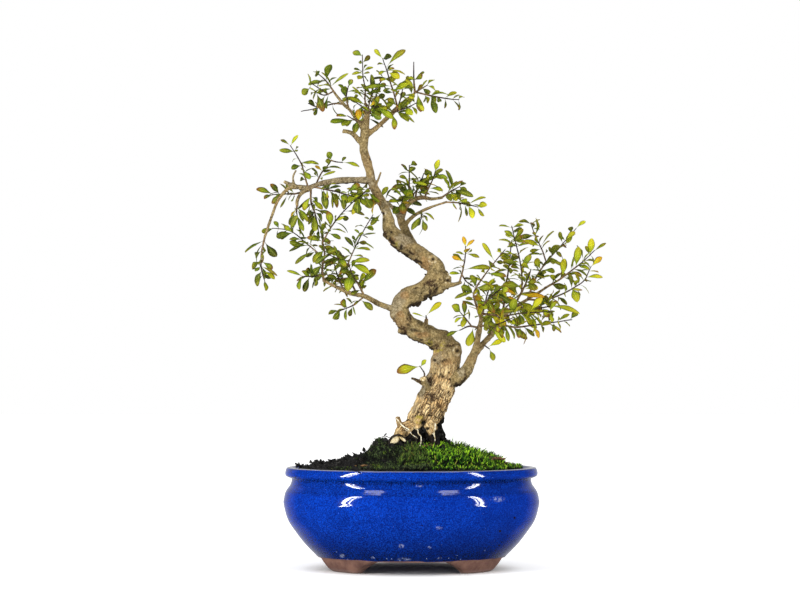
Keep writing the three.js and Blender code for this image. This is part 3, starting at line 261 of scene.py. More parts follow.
class Finish(Nodes):
    """A material under construction. Colours are six hex digits, and places are those of the object."""

    def __init__(self, name, specular=0.5):
        self.material = bpy.data.materials.new(name)
        super().__init__(self.material)
        self.shader = self.tree.nodes["Principled BSDF"]
        self.shader.inputs["Specular IOR Level"].default_value = specular
        self.place = self.add("TexCoord").node.outputs["Object"]

    def attribute(self, name):
        """A value or a vector stored in the mesh."""
        return self.add("Attribute", attribute_name=name).node.outputs["Vector"]

    def part(self, vector, axis):
        """One number of a vector: X, Y or Z."""
        return self.add("SeparateXYZ", {0: vector}).node.outputs[axis]

    def parts(self, vector):
        """All three numbers of a vector."""
        return tuple(self.add("SeparateXYZ", {0: vector}).node.outputs)

    def scaled(self, place, *scale):
        return self.add("VectorMath", {0: place, 1: scale}, operation="MULTIPLY")

    def noise(self, scale, detail, rough=0.5, place=None):
        sockets = {"Vector": place or self.place, "Scale": scale, "Detail": detail, "Roughness": rough}
        return self.add("TexNoise", sockets)

    def specks(self, scale):
        """The distance to the nearest of many scattered points, in shares of a cell."""
        return self.add("TexVoronoi", {"Vector": self.place, "Scale": scale})

    def span(self, value, low, high, start=0.0, end=1.0):
        """A value that goes smoothly from start to end as it goes from low to high."""
        return self.eased(value, low, high, start, end, interpolation_type="SMOOTHSTEP")

    def maths(self, operation, a, b=0.0):
        return self.add("Math", {0: a, 1: b}, operation=operation)

    def times(self, a, b):
        return self.maths("MULTIPLY", a, b)

    def plus(self, a, b):
        return self.maths("ADD", a, b)

    def mix(self, share, a, b):
        """Two colours mixed by a share."""
        node = self.add("Mix", data_type="RGBA").node
        self.join(node, {0: share, 6: a, 7: b})
        return node.outputs[2]

    def over(self, paint, coat, value, low, high, most=1.0):
        """A coat laid over a paint, from nothing to its most as a value goes from low to high."""
        return self.mix(self.span(value, low, high, 0.0, most), paint, coat)

    def ramp(self, value, *stops):
        """A value turned into a colour, by stops of a place and a colour."""
        node = self.add("ValToRGB", {0: value}).node
        while len(node.color_ramp.elements) < len(stops):
            node.color_ramp.elements.new(0.5)
        for element, (place, paint) in zip(node.color_ramp.elements, stops):
            element.position, element.color = place, colour(paint)
        return node.outputs[0]

    def oval(self, x, z, wide, high):
        """How far a place is from an oval on the front, in shares of its half width and half height."""
        centre = tuple((np.array([x, 0, z]) + POT_CENTRE) * 0.001)
        off = self.add("VectorMath", {0: self.place, 1: centre}, operation="SUBTRACT")
        shares = self.scaled(off, 1000 / wide, 0, 1000 / high)
        front = self.span(self.part(off, "Y"), -0.03, 0.0, 0.0, 5.0)
        return self.plus(self.add("VectorMath", {0: shares}, operation="LENGTH").node.outputs["Value"], front)

    def bump(self, height, distance, strength, under=None):
        """A relief in millimetres, over another relief if one is given."""
        sockets = {"Height": height, "Distance": distance * 0.001, "Strength": strength}
        if under:
            sockets["Normal"] = under
        return self.add("Bump", sockets)

    def done(self, base, rough, normal=None):
        self.join(self.shader, {"Base Color": base, "Roughness": rough, **({"Normal": normal} if normal else {})})
        return self.material


def fired_clay():
    """Cobalt glaze, darker towards its lower edge by painted shade and darkest in the groove by thick glaze and
    painted shade, with more pale speckle high up and on the left by painted light. It breaks pale over the rim and is
    mottled, with pinholes, a few dark specks and dry smears, over a dusty pinkish clay."""
    f = Finish("cobalt_glaze_and_clay", specular=0.5)
    height = f.part(f.place, "Z")
    # Painted shade: the glaze's tone by height, darkened towards the foot, at the neck and most in the groove.
    depth = f.ramp(f.times(height, 1 / 0.082), *GLAZE_AND_SHADE_TONES)
    fine = f.span(f.noise(1000, 4, 0.8), 0.42, 0.66)
    broad = f.span(f.noise(60, 3), 0.35, 0.7)
    # Painted light: the pale speckle shows more on the left and high up, and less low on the pot, where shade falls.
    left = f.span(f.part(f.place, "X"), 0.06, -0.075, 0.9, 1.35)
    lit = f.times(f.span(height, 0.013, 0.04, 0.24, 0.48), left)
    glaze = f.mix(f.times(fine, lit), depth, "0a52e0")
    glaze = f.mix(f.times(broad, 0.25), glaze, "010f4a")
    low = f.span(height, 0.012, 0.030, 0.085, 0.03)
    pinholes = f.maths("LESS_THAN", f.specks(230), low)
    glaze = f.mix(f.times(pinholes, 0.6), glaze, "b9cdf0")
    dark_specks = f.maths("LESS_THAN", f.specks(62), 0.035)
    glaze = f.mix(f.times(dark_specks, 0.9), glaze, "14110d")
    dusty = f.times(f.span(f.noise(30, 6, 0.7), 0.64, 0.76), f.span(f.noise(11, 2), 0.55, 0.7, 0, 0.5))
    for x, z, wide, high in SMEARS:
        near = f.oval(x, z, wide, high)
        ragged = f.times(f.span(near, 1.0, 0.4), f.span(f.noise(420, 5, 0.75), 0.44, 0.6, 0, 0.85))
        dusty = f.maths("MAXIMUM", dusty, ragged)
    glaze = f.mix(f.times(dusty, 0.5), glaze, "a9b4c8")
    for x, z, size in CHIPS:
        glaze = f.over(glaze, "120f0e", f.oval(x, z, size, size), 1.0, 0.7)
    grains = f.noise(1500, 3, 0.8)
    clay = f.over("583930", "785546", f.noise(140, 5), 0.3, 0.7)
    clay = f.over(clay, "917a6c", grains, 0.55, 0.75, 0.5)
    clay = f.mix(f.span(height, 0.0, 0.004, 0.55, 0.0), clay, "8c786f")
    edge = f.plus(height, f.times(f.noise(55, 3), 0.0022))
    glazed = f.span(edge, GLAZE_LINE * 0.001 + 0.0009, GLAZE_LINE * 0.001 + 0.0014)
    normal = f.bump(f.noise(95, 2), 0.03, 0.5)
    normal = f.bump(f.times(grains, f.maths("SUBTRACT", 1.0, glazed)), 0.25, 0.8, normal)
    gloss = f.plus(f.times(dusty, 0.3), 0.07)
    rough = f.add("Mix", {0: glazed, 2: 0.85, 3: gloss}, data_type="FLOAT")
    return f.done(f.mix(glazed, clay, glaze), rough, normal)


feet = [foot(side, front) for side in (-1, 1) for front in (-1, 1)]
drained = combined(combined(bowl(), feet, "UNION"), [drain(-DRAIN_OFFSET), drain(DRAIN_OFFSET)], "DIFFERENCE")
drained.name = "pot_of_stoneware"
drained.set_sharp_from_angle(angle=np.radians(40))
piece("pot_of_stoneware", drained, [fired_clay()], ["pot"])

# ---------- drain meshes ----------
# A square of moulded plastic net lies over each drain hole and keeps the soil in. Its strands cross over and under
# each other where they are welded.

NET_SIDE = 21
NET_STRANDS = 9
NET_HEIGHT = 18.4


def directions(line):
    """Three directions at each place of a line: along it, then across it, which is the axis that the line follows
    least, less its share along the line, and last at right angles to both."""
    tangent = np.gradient(line, axis=0)
    tangent /= np.linalg.norm(tangent, axis=1, keepdims=True)
    axis = np.eye(3)[np.abs(tangent).max(0).argmin()]
    first = axis - tangent * (tangent @ axis)[:, None]
    first /= np.linalg.norm(first, axis=1, keepdims=True)
    return tangent, first, np.cross(tangent, first)


def reached(line):
    """The length of a line up to each of its places."""
    return np.concatenate([[0], np.cumsum(np.linalg.norm(np.diff(line, axis=0), axis=1))])


def tube(line, radius, sides):
    """Rings round a line, each in the two directions across it. radius may differ from place to place and round a
    ring."""
    _, first, second = directions(line)
    turn = turns(sides)
    reach = np.broadcast_to(np.asarray(radius, float).reshape(len(np.atleast_1d(radius)), -1), (len(line), sides))
    across = first[:, None] * np.cos(turn)[:, None] + second[:, None] * np.sin(turn)[:, None]
    return line[:, None] + reach[..., None] * across


def net(offset):
    """Strands along both sides of a square, each rising and falling as a cosine of the crossings it passes."""
    along = np.linspace(-NET_SIDE / 2, NET_SIDE / 2, 6 * (NET_STRANDS - 1) + 1)
    beside = np.linspace(-NET_SIDE / 2 + 0.5, NET_SIDE / 2 - 0.5, NET_STRANDS)
    strands = []
    for number, off in enumerate(beside):
        wave = 0.28 * np.cos(np.pi * (NET_STRANDS - 1) * (along / NET_SIDE + 0.5) + np.pi * number)
        level = np.full_like(along, off)
        strands.append(np.column_stack([along + offset, level, NET_HEIGHT + wave]))
        strands.append(np.column_stack([level + offset, along, NET_HEIGHT - wave]))
    return closed_tubes(np.stack([tube(strand, 0.42, 8) for strand in strands]))


def moulded_net():
    f = Finish("black_plastic_net")
    paint = f.over("17191a", "34302a", f.noise(300, 4), 0.4, 0.7)
    return f.done(paint, f.span(f.noise(500, 2), 0.3, 0.7, 0.45, 0.75), f.bump(f.noise(1400, 3), 0.08, 0.5))


net_finish = moulded_net()
for side, offset in (("left", -DRAIN_OFFSET), ("right", DRAIN_OFFSET)):
    name = f"drain_net_{side}"
    piece(name, mesh_of(name, *net(offset), sharp=50), [net_finish], [f"drain_mesh_{side}"])

# ---------- soil ----------
# Dark, peaty bonsai soil with clods. It fills the pot, lies level by the wall and rises to a mound round the
# trunk. Loose crumbs lie on it, thickest on the bare left side and against the roots, with bits of bark.

SOIL_LEVEL = 79.5
MOUND_HEIGHT = 22
MOUND_CENTRE = np.array([4.0, 0.0])
SOIL_EDGE = 89.3  # half width of the soil where it meets the wall
SOIL_WALL = [[63.3, 19.6], [81.3, 27.4], [91.9, 52], [89.3, 74]]  # half width and height up the pot's wall
SOIL_SIDES, SOIL_RINGS = 240, 92
CRUMBS = 4600
ROOT_CRUMBS = 520
CRUMB_RINGS = np.array([[0.6, -0.6], [1.0, 0.0], [0.26, 0.95]])  # width and height, in shares of a crumb's size
CLODS = [  # big clods: place and size
    [-89.5, -4, 82.4, 1.9], [-88, 5, 82, 1.8], [-91, 0, 81.8, 1.4], [-86, -6, 81.8, 1.1], [-83, 2, 81.8, 1.4],
    [-76, -12, 84.5, 2.9], [-73, -16, 83.5, 2.5], [-66, -20, 83, 2.2], [-61, -22, 84.5, 2.5], [-60.5, -21, 87, 1.2],
    [-56, -30, 83, 2.3], [-50, -34, 84.5, 2.7], [-46, -40, 84, 2.6], [-43, -34, 84, 2.9], [-38, -22, 87.5, 4.4],
    [-36, -14, 91, 4.4], [-33, -19, 93, 4.0], [-30, -9, 96.5, 4.0], [-27, -15, 98.5, 3.6], [-24, -11, 100, 3.0],
    [-41, -12, 85.5, 3.8], [-20, -12, 102, 2.4], [-15, -25, 98, 2.4], [-44, -63, 82, 1.9], [-42.5, -68, 82.6, 1.5],
    [-45.5, -66, 82.4, 1.3], [-41.5, -70.5, 82, 1.1], [-40.5, -73, 80.6, 1.0], [-7, -26, 98.5, 2.4],
    [0, -23, 101, 2.2], [27, -4, 101, 2.4], [29, -8, 100, 2.2],
]
BARK_BITS = [  # centre and half extent of the patches of bark bits, and how many lie there
    [66, -14, 88.2, 6, 9, 34], [14, -31, 99.0, 5, 3, 22], [74, 6, 84, 4, 6, 14], [-30, -46, 84, 14, 8, 12],
]
rng = np.random.default_rng(11)


def clipped(value):
    return np.clip(value, 0, 1)


def bell(*offsets):
    """A bell curve: e to the power of minus the sum of the offsets' squares."""
    return np.exp(-sum(offset**2 for offset in offsets))


def lattice_noise(points, size, seed):
    """Smooth noise from -1 to 1: each corner of a lattice of the given size has a repeatable chance value, and a
    place between them takes their blend, eased by 3t²-2t³ along each axis."""
    place = points / size + 13.7 * seed
    corner = np.floor(place).astype(np.int64)
    t = place - corner
    t = t * t * (3 - 2 * t)
    total = np.zeros(len(points))
    for step in np.ndindex(2, 2, 2):
        key = (corner + step) @ np.array([73856093, 19349663, 83492791])
        key = (key ^ (key >> 13)) * 1274126177 % 2147483647
        share = np.prod(np.where(step, t, 1 - t), axis=1)
        total += share * ((key ^ (key >> 11)) % 65536 / 32767.5 - 1)
    return total


def level_noise(x, y, size, seed):
    """The same noise over level places of any arrangement."""
    flat = np.stack([x, y, np.zeros_like(x)], -1)
    return lattice_noise(flat.reshape(-1, 3), size, seed).reshape(x.shape)


def ground_height(x, y):
    """The soil's height: level by the wall, and over it a mound whose rise is its height over one more than the
    distance from its centre, in its own half sizes, to the power four and a half. It dips before the roots, and is
    heaped up left of them."""
    off_x, off_y = x - MOUND_CENTRE[0], y - MOUND_CENTRE[1]
    shoulder = np.hypot(off_x / np.where(off_x < 0, 38, 36), off_y / 40)
    dip = 3.2 * bell((x - 14) / 20, (y + 25) / 13)
    heap = 3.6 * bell((x + 26) / 8.5, (y + 8) / 13)
    return SOIL_LEVEL + MOUND_HEIGHT / (1 + shoulder**4.5) - dip + heap


def bare(x, y):
    """How bare of moss a place is, from 0 to 1: all of it left of the trunk and at the back."""
    return np.maximum(clipped((-30 - x) / 14), clipped((y - 22) / 10) * clipped((20 - x) / 20))


def soil_body():
    """The soil's body: rings up the pot's wall, and then rings of ground inwards to the middle, with clods from two
    sizes of noise that are higher where the soil is bare."""
    wall = np.array(SOIL_WALL)
    angle = turns(SOIL_SIDES)
    share = np.concatenate([[1.0], np.linspace(0.995, 0.01, SOIL_RINGS)])
    half = np.concatenate([wall[:, 0], SOIL_EDGE * share])[:, None]
    x, y = half * np.cos(angle), half * POT_DEPTH_RATIO * np.sin(angle)
    clods = 1.5 * level_noise(x, y, 6.5, 1) + 0.9 * level_noise(x, y, 2.6, 2)
    z = ground_height(x, y) + clods * (0.45 + 0.75 * bare(x, y)) * (half < SOIL_EDGE)
    z[: len(wall)] = wall[:, 1:]
    z[len(wall)] -= 2
    return mesh_of("potting_soil", *closed_tubes(np.stack([x, y, z], -1)[None]))


def crumbs(centres, sizes, flat=1.0):
    """Crumbs: each is three rings of five points about its centre, the middle ring widest, with every point moved
    by a chance share of the crumb's size, and the whole leaned and stretched by chance."""
    count = len(centres)
    turn = turns(5) + rng.uniform(0, 6.28, (count, 1))
    width, height = CRUMB_RINGS[:, :1], CRUMB_RINGS[:, 1:]
    across = width * np.cos(turn)[:, None], width * np.sin(turn)[:, None]
    rings = np.stack([*across, np.broadcast_to(height, (count, 3, 5))], -1)
    rings = rings + rng.uniform(-0.3, 0.3, rings.shape)
    rings[..., :2] += rng.normal(0, 0.45, (count, 1, 1, 2)) * rings[..., 2:]
    stretch = rng.uniform(0.7, 1.4, (count, 1, 1, 3)) * [1, 1, flat]
    return centres[:, None, None] + rings * stretch * sizes[:, None, None, None]


def scattered_crumbs():
    """Crumbs strewn over the whole ground, kept by how bare it is, with fine grains between them, a collar of them
    against the root crown, and the big clods, each with smaller ones stuck to it."""
    angle, reach = rng.uniform(0, 2 * np.pi, CRUMBS), np.sqrt(rng.uniform(0, 1, CRUMBS))
    x, y = SOIL_EDGE * reach * np.cos(angle), SOIL_EDGE * POT_DEPTH_RATIO * reach * np.sin(angle)
    kept = rng.uniform(0, 1, CRUMBS) < 0.14 + 0.86 * bare(x, y)
    x, y = x[kept], y[kept]
    count = len(x)
    size = np.where(rng.uniform(0, 1, count) < 0.45, rng.uniform(0.4, 0.9, count), rng.gamma(3.4, 0.4, count) + 0.5)
    inwards = SOIL_EDGE - np.hypot(x, y / POT_DEPTH_RATIO)
    size = np.minimum(size, 0.8 + 0.12 * inwards)
    heap = rng.uniform(0, 1, len(x)) ** 2 * 3.0 * bare(x, y) * clipped(inwards / 20)
    ground = np.column_stack([x, y, ground_height(x, y) + 0.2 * size + heap])
    turn, rise = rng.uniform(0, 2 * np.pi, ROOT_CRUMBS), rng.uniform(0, 1, ROOT_CRUMBS) ** 1.5
    wide = 20 - 6.5 * rise
    collar = np.column_stack([6 + 4 * rise + wide * np.cos(turn), wide * np.sin(turn) * 0.9, 96 + 15 * rise])
    clods = np.repeat(np.array(CLODS), 7, axis=0)
    main = np.arange(len(clods)) % 7 == 0
    spread = rng.normal(0, 1, (len(clods), 3)) * clods[:, 3:] * 0.62 * ~main[:, None]
    clod_size = clods[:, 3] * np.where(main, 1, rng.uniform(0.25, 0.6, len(clods)))
    places = np.vstack([ground, collar, clods[:, :3] + spread])
    return places, np.concatenate([size, rng.uniform(0.6, 1.8, ROOT_CRUMBS), clod_size])


def strewn_bark():
    """Bits of bark, flat crumbs, in their patches."""
    rows = np.array(BARK_BITS)
    patch = np.repeat(rows, rows[:, 5].astype(int), axis=0)
    spread = np.column_stack([patch[:, 3:5], np.full(len(patch), 0.6)])
    return patch[:, :3] + rng.normal(0, 0.5, (len(patch), 3)) * spread, rng.uniform(0.7, 2.1, len(patch))


def peaty_soil():
    """Near black, with browner and greyer grains, the grey ones partly painted glints, dull and rough."""
    f = Finish("peaty_soil", specular=0.4)
    dark = f.over("050505", "191715", f.noise(260, 6, 0.7), 0.35, 0.7)
    brown = f.span(f.noise(90, 4), 0.58, 0.72, 0, 0.5)
    # The grey grains are partly pale grains and partly painted glints.
    grey = f.span(f.noise(700, 2), 0.62, 0.72, 0, 0.7)
    paint = f.mix(grey, f.mix(brown, dark, "33261a"), "6e6b64")
    return f.done(paint, 0.72, f.bump(f.noise(620, 5, 0.7), 0.7, 0.9))


def dry_bark():
    """Bits of dry bark: tan to brown, with fibres."""
    f = Finish("dry_bark_bits", specular=0.25)
    fibres = f.noise(1.0, 4, 0.6, f.scaled(f.place, 900, 250, 900))
    paint = f.over("3f2a18", "8d6b45", fibres, 0.35, 0.65)
    paint = f.over(paint, "2a2015", f.noise(160, 2), 0.5, 0.7, 0.7)
    return f.done(paint, 0.85, f.bump(fibres, 0.3, 0.7))


soil_finish = peaty_soil()
piece("potting_soil", soil_body(), [soil_finish], ["soil"])
loose_crumbs = closed_tubes(crumbs(*scattered_crumbs()))
piece("soil_crumbs", mesh_of("soil_crumbs", *loose_crumbs, sharp=25), [soil_finish])
loose_bark = closed_tubes(crumbs(*strewn_bark(), flat=0.4))
piece("bark_bits", mesh_of("bark_bits", *loose_bark, sharp=25), [dry_bark()])

# ---------- moss ----------
# Two living cushions lie on the soil: bright, upright moss on the right and in front, and low olive moss on the
# left of the mound. Each is a felted mat with thousands of fine shoots, and loose tufts grow round both.

MOSS_RINGS = 6.7  # rings of ground from the wall to the middle, as the CAD model counts them
MOSS_SIDES = 32
BRIGHT_EXTENT = (-8.8, 5, 1, 5)  # first and last side of the ground, and outer and inner ring
OLIVE_EXTENT = (-15, -7.2, 2.6, 5)
MAT_STEPS = (110, 64)  # steps along the sides of the ground, and along its rings
SHOOT_SHARES = np.array([0.0, 0.5, 1.0])
SHOOT_GIRTHS = np.array([0.7, 1.0, 0.14])
CROWN = np.array([12, -4, 27])  # the root crown's middle, and how far round it the moss stays low


def moss_place(ring, side):
    """Where a ring and a side of the ground lie: the half width falls evenly with the ring."""
    half, angle = SOIL_EDGE * (1 - ring / MOSS_RINGS), 2 * np.pi * side / MOSS_SIDES
    return half * np.cos(angle), half * POT_DEPTH_RATIO * np.sin(angle)


def moss_thickness(ring, side, extent, thick):
    """A cushion's thickness: full inside, thinning within half a ring of a wavy edge and towards the root crown,
    with lumps from noise."""
    first, last, outer, inner = extent
    x, y = moss_place(ring, side)
    lumps = 0.34 * level_noise(x, y, 9, 3) + 0.3 * level_noise(x, y, 4, 4)
    edge = np.minimum(np.minimum(side - first, last - side), np.minimum(ring - outer, inner - ring) * 1.6)
    fade = clipped(edge / 0.7)
    low = np.clip((np.hypot(x - CROWN[0], y - CROWN[1]) - CROWN[2]) / 12, 0.12, 1)
    low = low * np.clip((92 - x) / 34, 0.12, 1) * (1 - 0.85 * bell((x - 67) / 7, (y + 14) / 10))
    return thick * (0.1 + (0.9 + lumps) * fade * (2 - fade) * low)


def moss_mat(extent, thick, sides_steps, ring_steps):
    """The mat: for each side of the ground a closed ring of points, out along its underside and back on its top."""
    first, last, outer, inner = extent
    sides, rings = np.linspace(first, last, sides_steps), np.linspace(outer, inner, ring_steps)
    side, ring = np.meshgrid(sides, rings, indexing="ij")
    x, y = moss_place(ring, side)
    low = ground_height(x, y) - 0.8
    high = ground_height(x, y) + moss_thickness(ring, side, extent, thick)
    under, over = np.stack([x, y, low], -1), np.stack([x, y, high], -1)
    return np.concatenate([under, over[:, ::-1]], axis=1)


def shoots(places, lengths, widths, slack=0.3):
    """Shoots: each has three rings of four points, widest at the middle and pointed. It stands up, leans by a chance
    amount that grows with its slack, and bends over by the share of its length."""
    count = len(places)
    turn = turns(4) + rng.uniform(0, 6.28, (count, 1))
    lean = rng.normal(0, slack, (count, 2))
    radius = np.broadcast_to(widths, count)[:, None] * SHOOT_GIRTHS
    flat_ring = np.stack([np.cos(turn), np.sin(turn), np.zeros_like(turn)], -1)[:, None]
    rise = lengths[:, None] * SHOOT_SHARES
    bend = lean[:, None] * rise[..., None] * (0.4 + 0.9 * SHOOT_SHARES[:, None])
    centre = np.concatenate([bend, rise[..., None]], -1) + places[:, None]
    return centre[:, :, None] + flat_ring * radius[..., None, None]


def shoot_places(extent, thick, count):
    """Chance places on a cushion, spread evenly over its area, with its thickness at each."""
    first, last, outer, inner = extent
    side = rng.uniform(first + 0.1, last - 0.1, count)
    wide, narrow = 1 - (outer + 0.05) / MOSS_RINGS, 1 - (inner - 0.1) / MOSS_RINGS
    ring = MOSS_RINGS * (1 - np.sqrt(rng.uniform(narrow**2, wide**2, count)))
    x, y = moss_place(ring, side)
    height = moss_thickness(ring, side, extent, thick)
    return np.column_stack([x, y, ground_height(x, y) + height - 0.8]), height / thick


def tufts(places, spread, each, length):
    """Loose tufts on bare ground: so many shoots round each place, with their roots on the ground."""
    centre = np.repeat(np.asarray(places, float), each, axis=0)
    x, y = (centre + rng.normal(0, spread, centre.shape)).T
    inside = np.hypot(x / SOIL_EDGE, y / SOIL_EDGE / POT_DEPTH_RATIO) < 0.985
    x, y = x[inside], y[inside]
    root = np.column_stack([x, y, ground_height(x, y) - 0.4])
    return shoots(root, length * rng.uniform(0.5, 1.3, len(x)), rng.uniform(0.3, 0.65, len(x)))


def joined(name, solids):
    """Closed tubes of several kinds in one mesh."""
    points, quads, caps, start = [], [], {}, 0
    for rings in solids:
        made, (squares, ends) = closed_tubes(rings)
        points.append(made)
        quads.append(squares + start)
        caps.setdefault(ends.shape[1], []).append(ends + start)
        start += len(made)
    return mesh_of(name, np.concatenate(points), [np.concatenate(rows) for rows in (quads, *caps.values())])


def store(mesh, name, values):
    """Keeps three numbers at each point of a mesh, for its materials."""
    layer = mesh.attributes.new(name, "FLOAT_VECTOR", "POINT")
    layer.data.foreach_set("vector", values.astype(np.float32).ravel())


def moss_mesh(name, extent, thick, count, length, widths, other, extra):
    """A mat with its shoots. The growth attribute holds the share up a shoot, its own chance value with 2 more where
    it has the other cushion's tone, and whether it is a shoot."""
    mat = moss_mat(extent, thick, *MAT_STEPS)
    places, fullness = shoot_places(extent, thick, count)
    buried = bare(places[:, 0], places[:, 1]) * clipped((places[:, 1] + 44) / 10)
    lengths = length * rng.uniform(0.5, 1.4, count) * (0.22 + 0.78 * np.clip(fullness, 0, 1.2))
    lengths = lengths * (1 - 0.6 * buried)
    blades = np.concatenate([shoots(places, lengths, rng.uniform(*widths, count)), *extra])
    foot = blades[:, 0, 0]
    clear = 1 - 0.9 * bare(foot[:, 0], foot[:, 1]) * clipped((foot[:, 1] + 44) / 10)
    share = SHOOT_SHARES[None, :, None] * clear[:, None, None] * np.ones(blades.shape[:3])
    own = rng.uniform(0, 1, len(blades)) + 2 * other(foot[:, 0], foot[:, 1])
    own = np.broadcast_to(own[:, None, None], blades.shape[:3])
    tints = np.stack([share, own, np.ones(blades.shape[:3])], -1).reshape(-1, 3)
    flat = mat.reshape(-1, 3)
    under = np.column_stack([0 * flat[:, 0], 2.0 * other(flat[:, 0], flat[:, 1]), 0 * flat[:, 0]])
    mesh = joined(name, [mat[None], blades])
    store(mesh, "growth", np.vstack([under, tints]))
    return mesh


def living_moss(name, root, middle, tip, dead, other):
    """Moss: dark where its shoots are rooted, partly its own tone and partly painted shade deep in the cushion, and
    brighter to their tips, with patches of another tone, a few dry shoots and blotches of painted shade between the
    clumps."""
    f = Finish(name, specular=0.25)
    up, own, is_shoot = f.parts(f.attribute("growth"))
    odd = f.span(own, 1.2, 1.9)
    own = f.maths("FRACT", own)
    # From the root tone up to the middle tone: partly the shoots' own colour, and partly painted shade deep in the
    # cushion.
    shoot = f.over(root, middle, up, 0.05, 0.65)
    shoot = f.mix(f.times(f.span(up, 0.3, 1.0), f.span(own, 0.25, 0.95, 0.05, 1.0)), shoot, tip)
    shoot = f.mix(f.times(odd, f.span(up, 0.0, 0.8, 0.2, 0.85)), shoot, other)
    shoot = f.over(shoot, dead, own, 0.94, 0.97, 0.75)
    # Painted shade: blotches of the dark root tone between the clumps, broad and fine.
    shoot = f.over(shoot, root, f.noise(60, 3), 0.5, 0.72, 0.4)
    shoot = f.over(shoot, root, f.noise(330, 3), 0.46, 0.56, 0.94)
    paint = f.mix(is_shoot, f.over("0a0b06", root, f.noise(400, 5), 0.35, 0.7), shoot)
    return f.done(paint, 0.75, f.bump(f.noise(900, 4), 0.3, 0.5))


def olive_side(x, y):
    """Where the bright cushion turns olive: left of a ragged line that runs outwards to the right."""
    return (x < 7 - 0.22 * (y + 25) + 5 * level_noise(x, y, 5, 16)).astype(float)


def fresh_side(x, y):
    """Where the olive cushion has fresh green patches: in spots, most of them close to the wall in front."""
    spot = level_noise(x, y, 7, 17) + 0.5 * level_noise(x, y, 3, 18)
    return (spot > np.where(y < -44, 0.32, 0.9)).astype(float)


tall = np.array([[32.6, -14, 96], [33.5, -13, 96], [30, -12, 97], [36.6, -15, 95], [28, -13, 97], [39, -14, 94]])
by_wall = [[80, -12], [83, -4], [78, -22], [84, 6], [72, -31], [79, 12], [66, -38], [62, -42], [86, -1], [75, -27]]
bright_tufts = [
    shoots(tall, np.array([13.0, 9.0, 7.5, 8.0, 6.5, 7.0]), 0.3, 0.08),
    tufts([[30, -7], [34, -5], [38, -4], [28, -11], [42, -2], [33, -10], [25, -15]], 2.2, 60, 3.8),
    tufts(by_wall, 3.2, 46, 3.8),
    tufts([[50, -50], [40, -56], [30, -60], [20, -61], [58, -45], [12, -62]], 3.4, 42, 3.6),
]
bright = moss_mesh("moss_cushion_bright", BRIGHT_EXTENT, 4.0, 5400, 6.8, (0.34, 0.82), olive_side, bright_tufts)
bright_finish = living_moss("bright_moss", "020801", "1c5a02", "c2fb30", "8a7c38", "4a5a26")
piece("moss_cushion_bright", bright, [bright_finish], ["moss_bright"])
front_left = [
    [-4, -62], [-12, -60], [-20, -58], [-28, -56], [-36, -52], [-42, -50], [-16, -50], [-26, -46], [-34, -42],
    [-8, -50], [0, -52], [-46, -44], [-54, -40], [-50, -48], [-58, -42], [6, -50],
]
middle = [[3, -60], [9, -58], [0, -64], [12, -54], [7, -65], [4, -68], [-2, -68], [11, -64]]
sparse = [[-66, -34], [-72, -24], [-40, 10], [-36, 24]]
olive_tufts = [tufts(front_left, 4.2, 105, 2.7), tufts(middle, 2.6, 90, 4.4), tufts(sparse, 3, 22, 1.8)]
olive = moss_mesh("moss_cushion_olive", OLIVE_EXTENT, 3.1, 3600, 2.9, (0.3, 0.75), fresh_side, olive_tufts)
olive_finish = living_moss("olive_moss", "010201", "10180c", "647c46", "5c5834", "66821c")
piece("moss_cushion_olive", olive, [olive_finish], ["moss_olive"])

# ---------- trunk, limbs and roots ----------
# One living piece of wood. The old trunk winds up from flared surface roots, rough, pitted and golden below and
# smoother and grey-tan above, with knots, cut stubs, swollen collars and slim limbs that carry the leafy twigs.

TRUNK = [
    [2, 2, 90, 15], [5, 1, 104, 14], [9, 0, 118, 12.4], [16, 1, 132, 12.2], [22.5, 3, 146, 11.6],
    [26.5, 5, 159, 10.8], [28, 6, 171, 10.8], [24.4, 6, 180.4, 9.4], [14.5, 3, 186, 7.7], [2, -1, 191.5, 7.8],
    [-7.8, -5, 201.5, 7.6], [-8, -7, 211.5, 7.3], [1.8, -7, 218.2, 7.5], [12.5, -4, 224, 7.2], [19.8, 0, 232, 7.9],
    [19.5, 4, 241.5, 7.4], [10, 6, 248.7, 6.8], [-0.6, 5, 256.2, 6.6], [-11, 2, 263.4, 6.5], [-17.2, -1, 272, 5.3],
    [-18.5, -3, 280, 4.3], [-21.8, -4, 289, 3.8], [-27.6, -4, 299.5, 3.5], [-31.8, -3, 309.5, 3.5],
    [-34, -2, 320, 3.5], [-37, -1, 330, 3.6], [-38.4, 0, 337, 3.4], [-37.8, 1, 346, 3.6], [-37, 1, 354, 3.1],
    [-36, 1, 361, 2.5], [-35, 1, 368, 1.6],
]
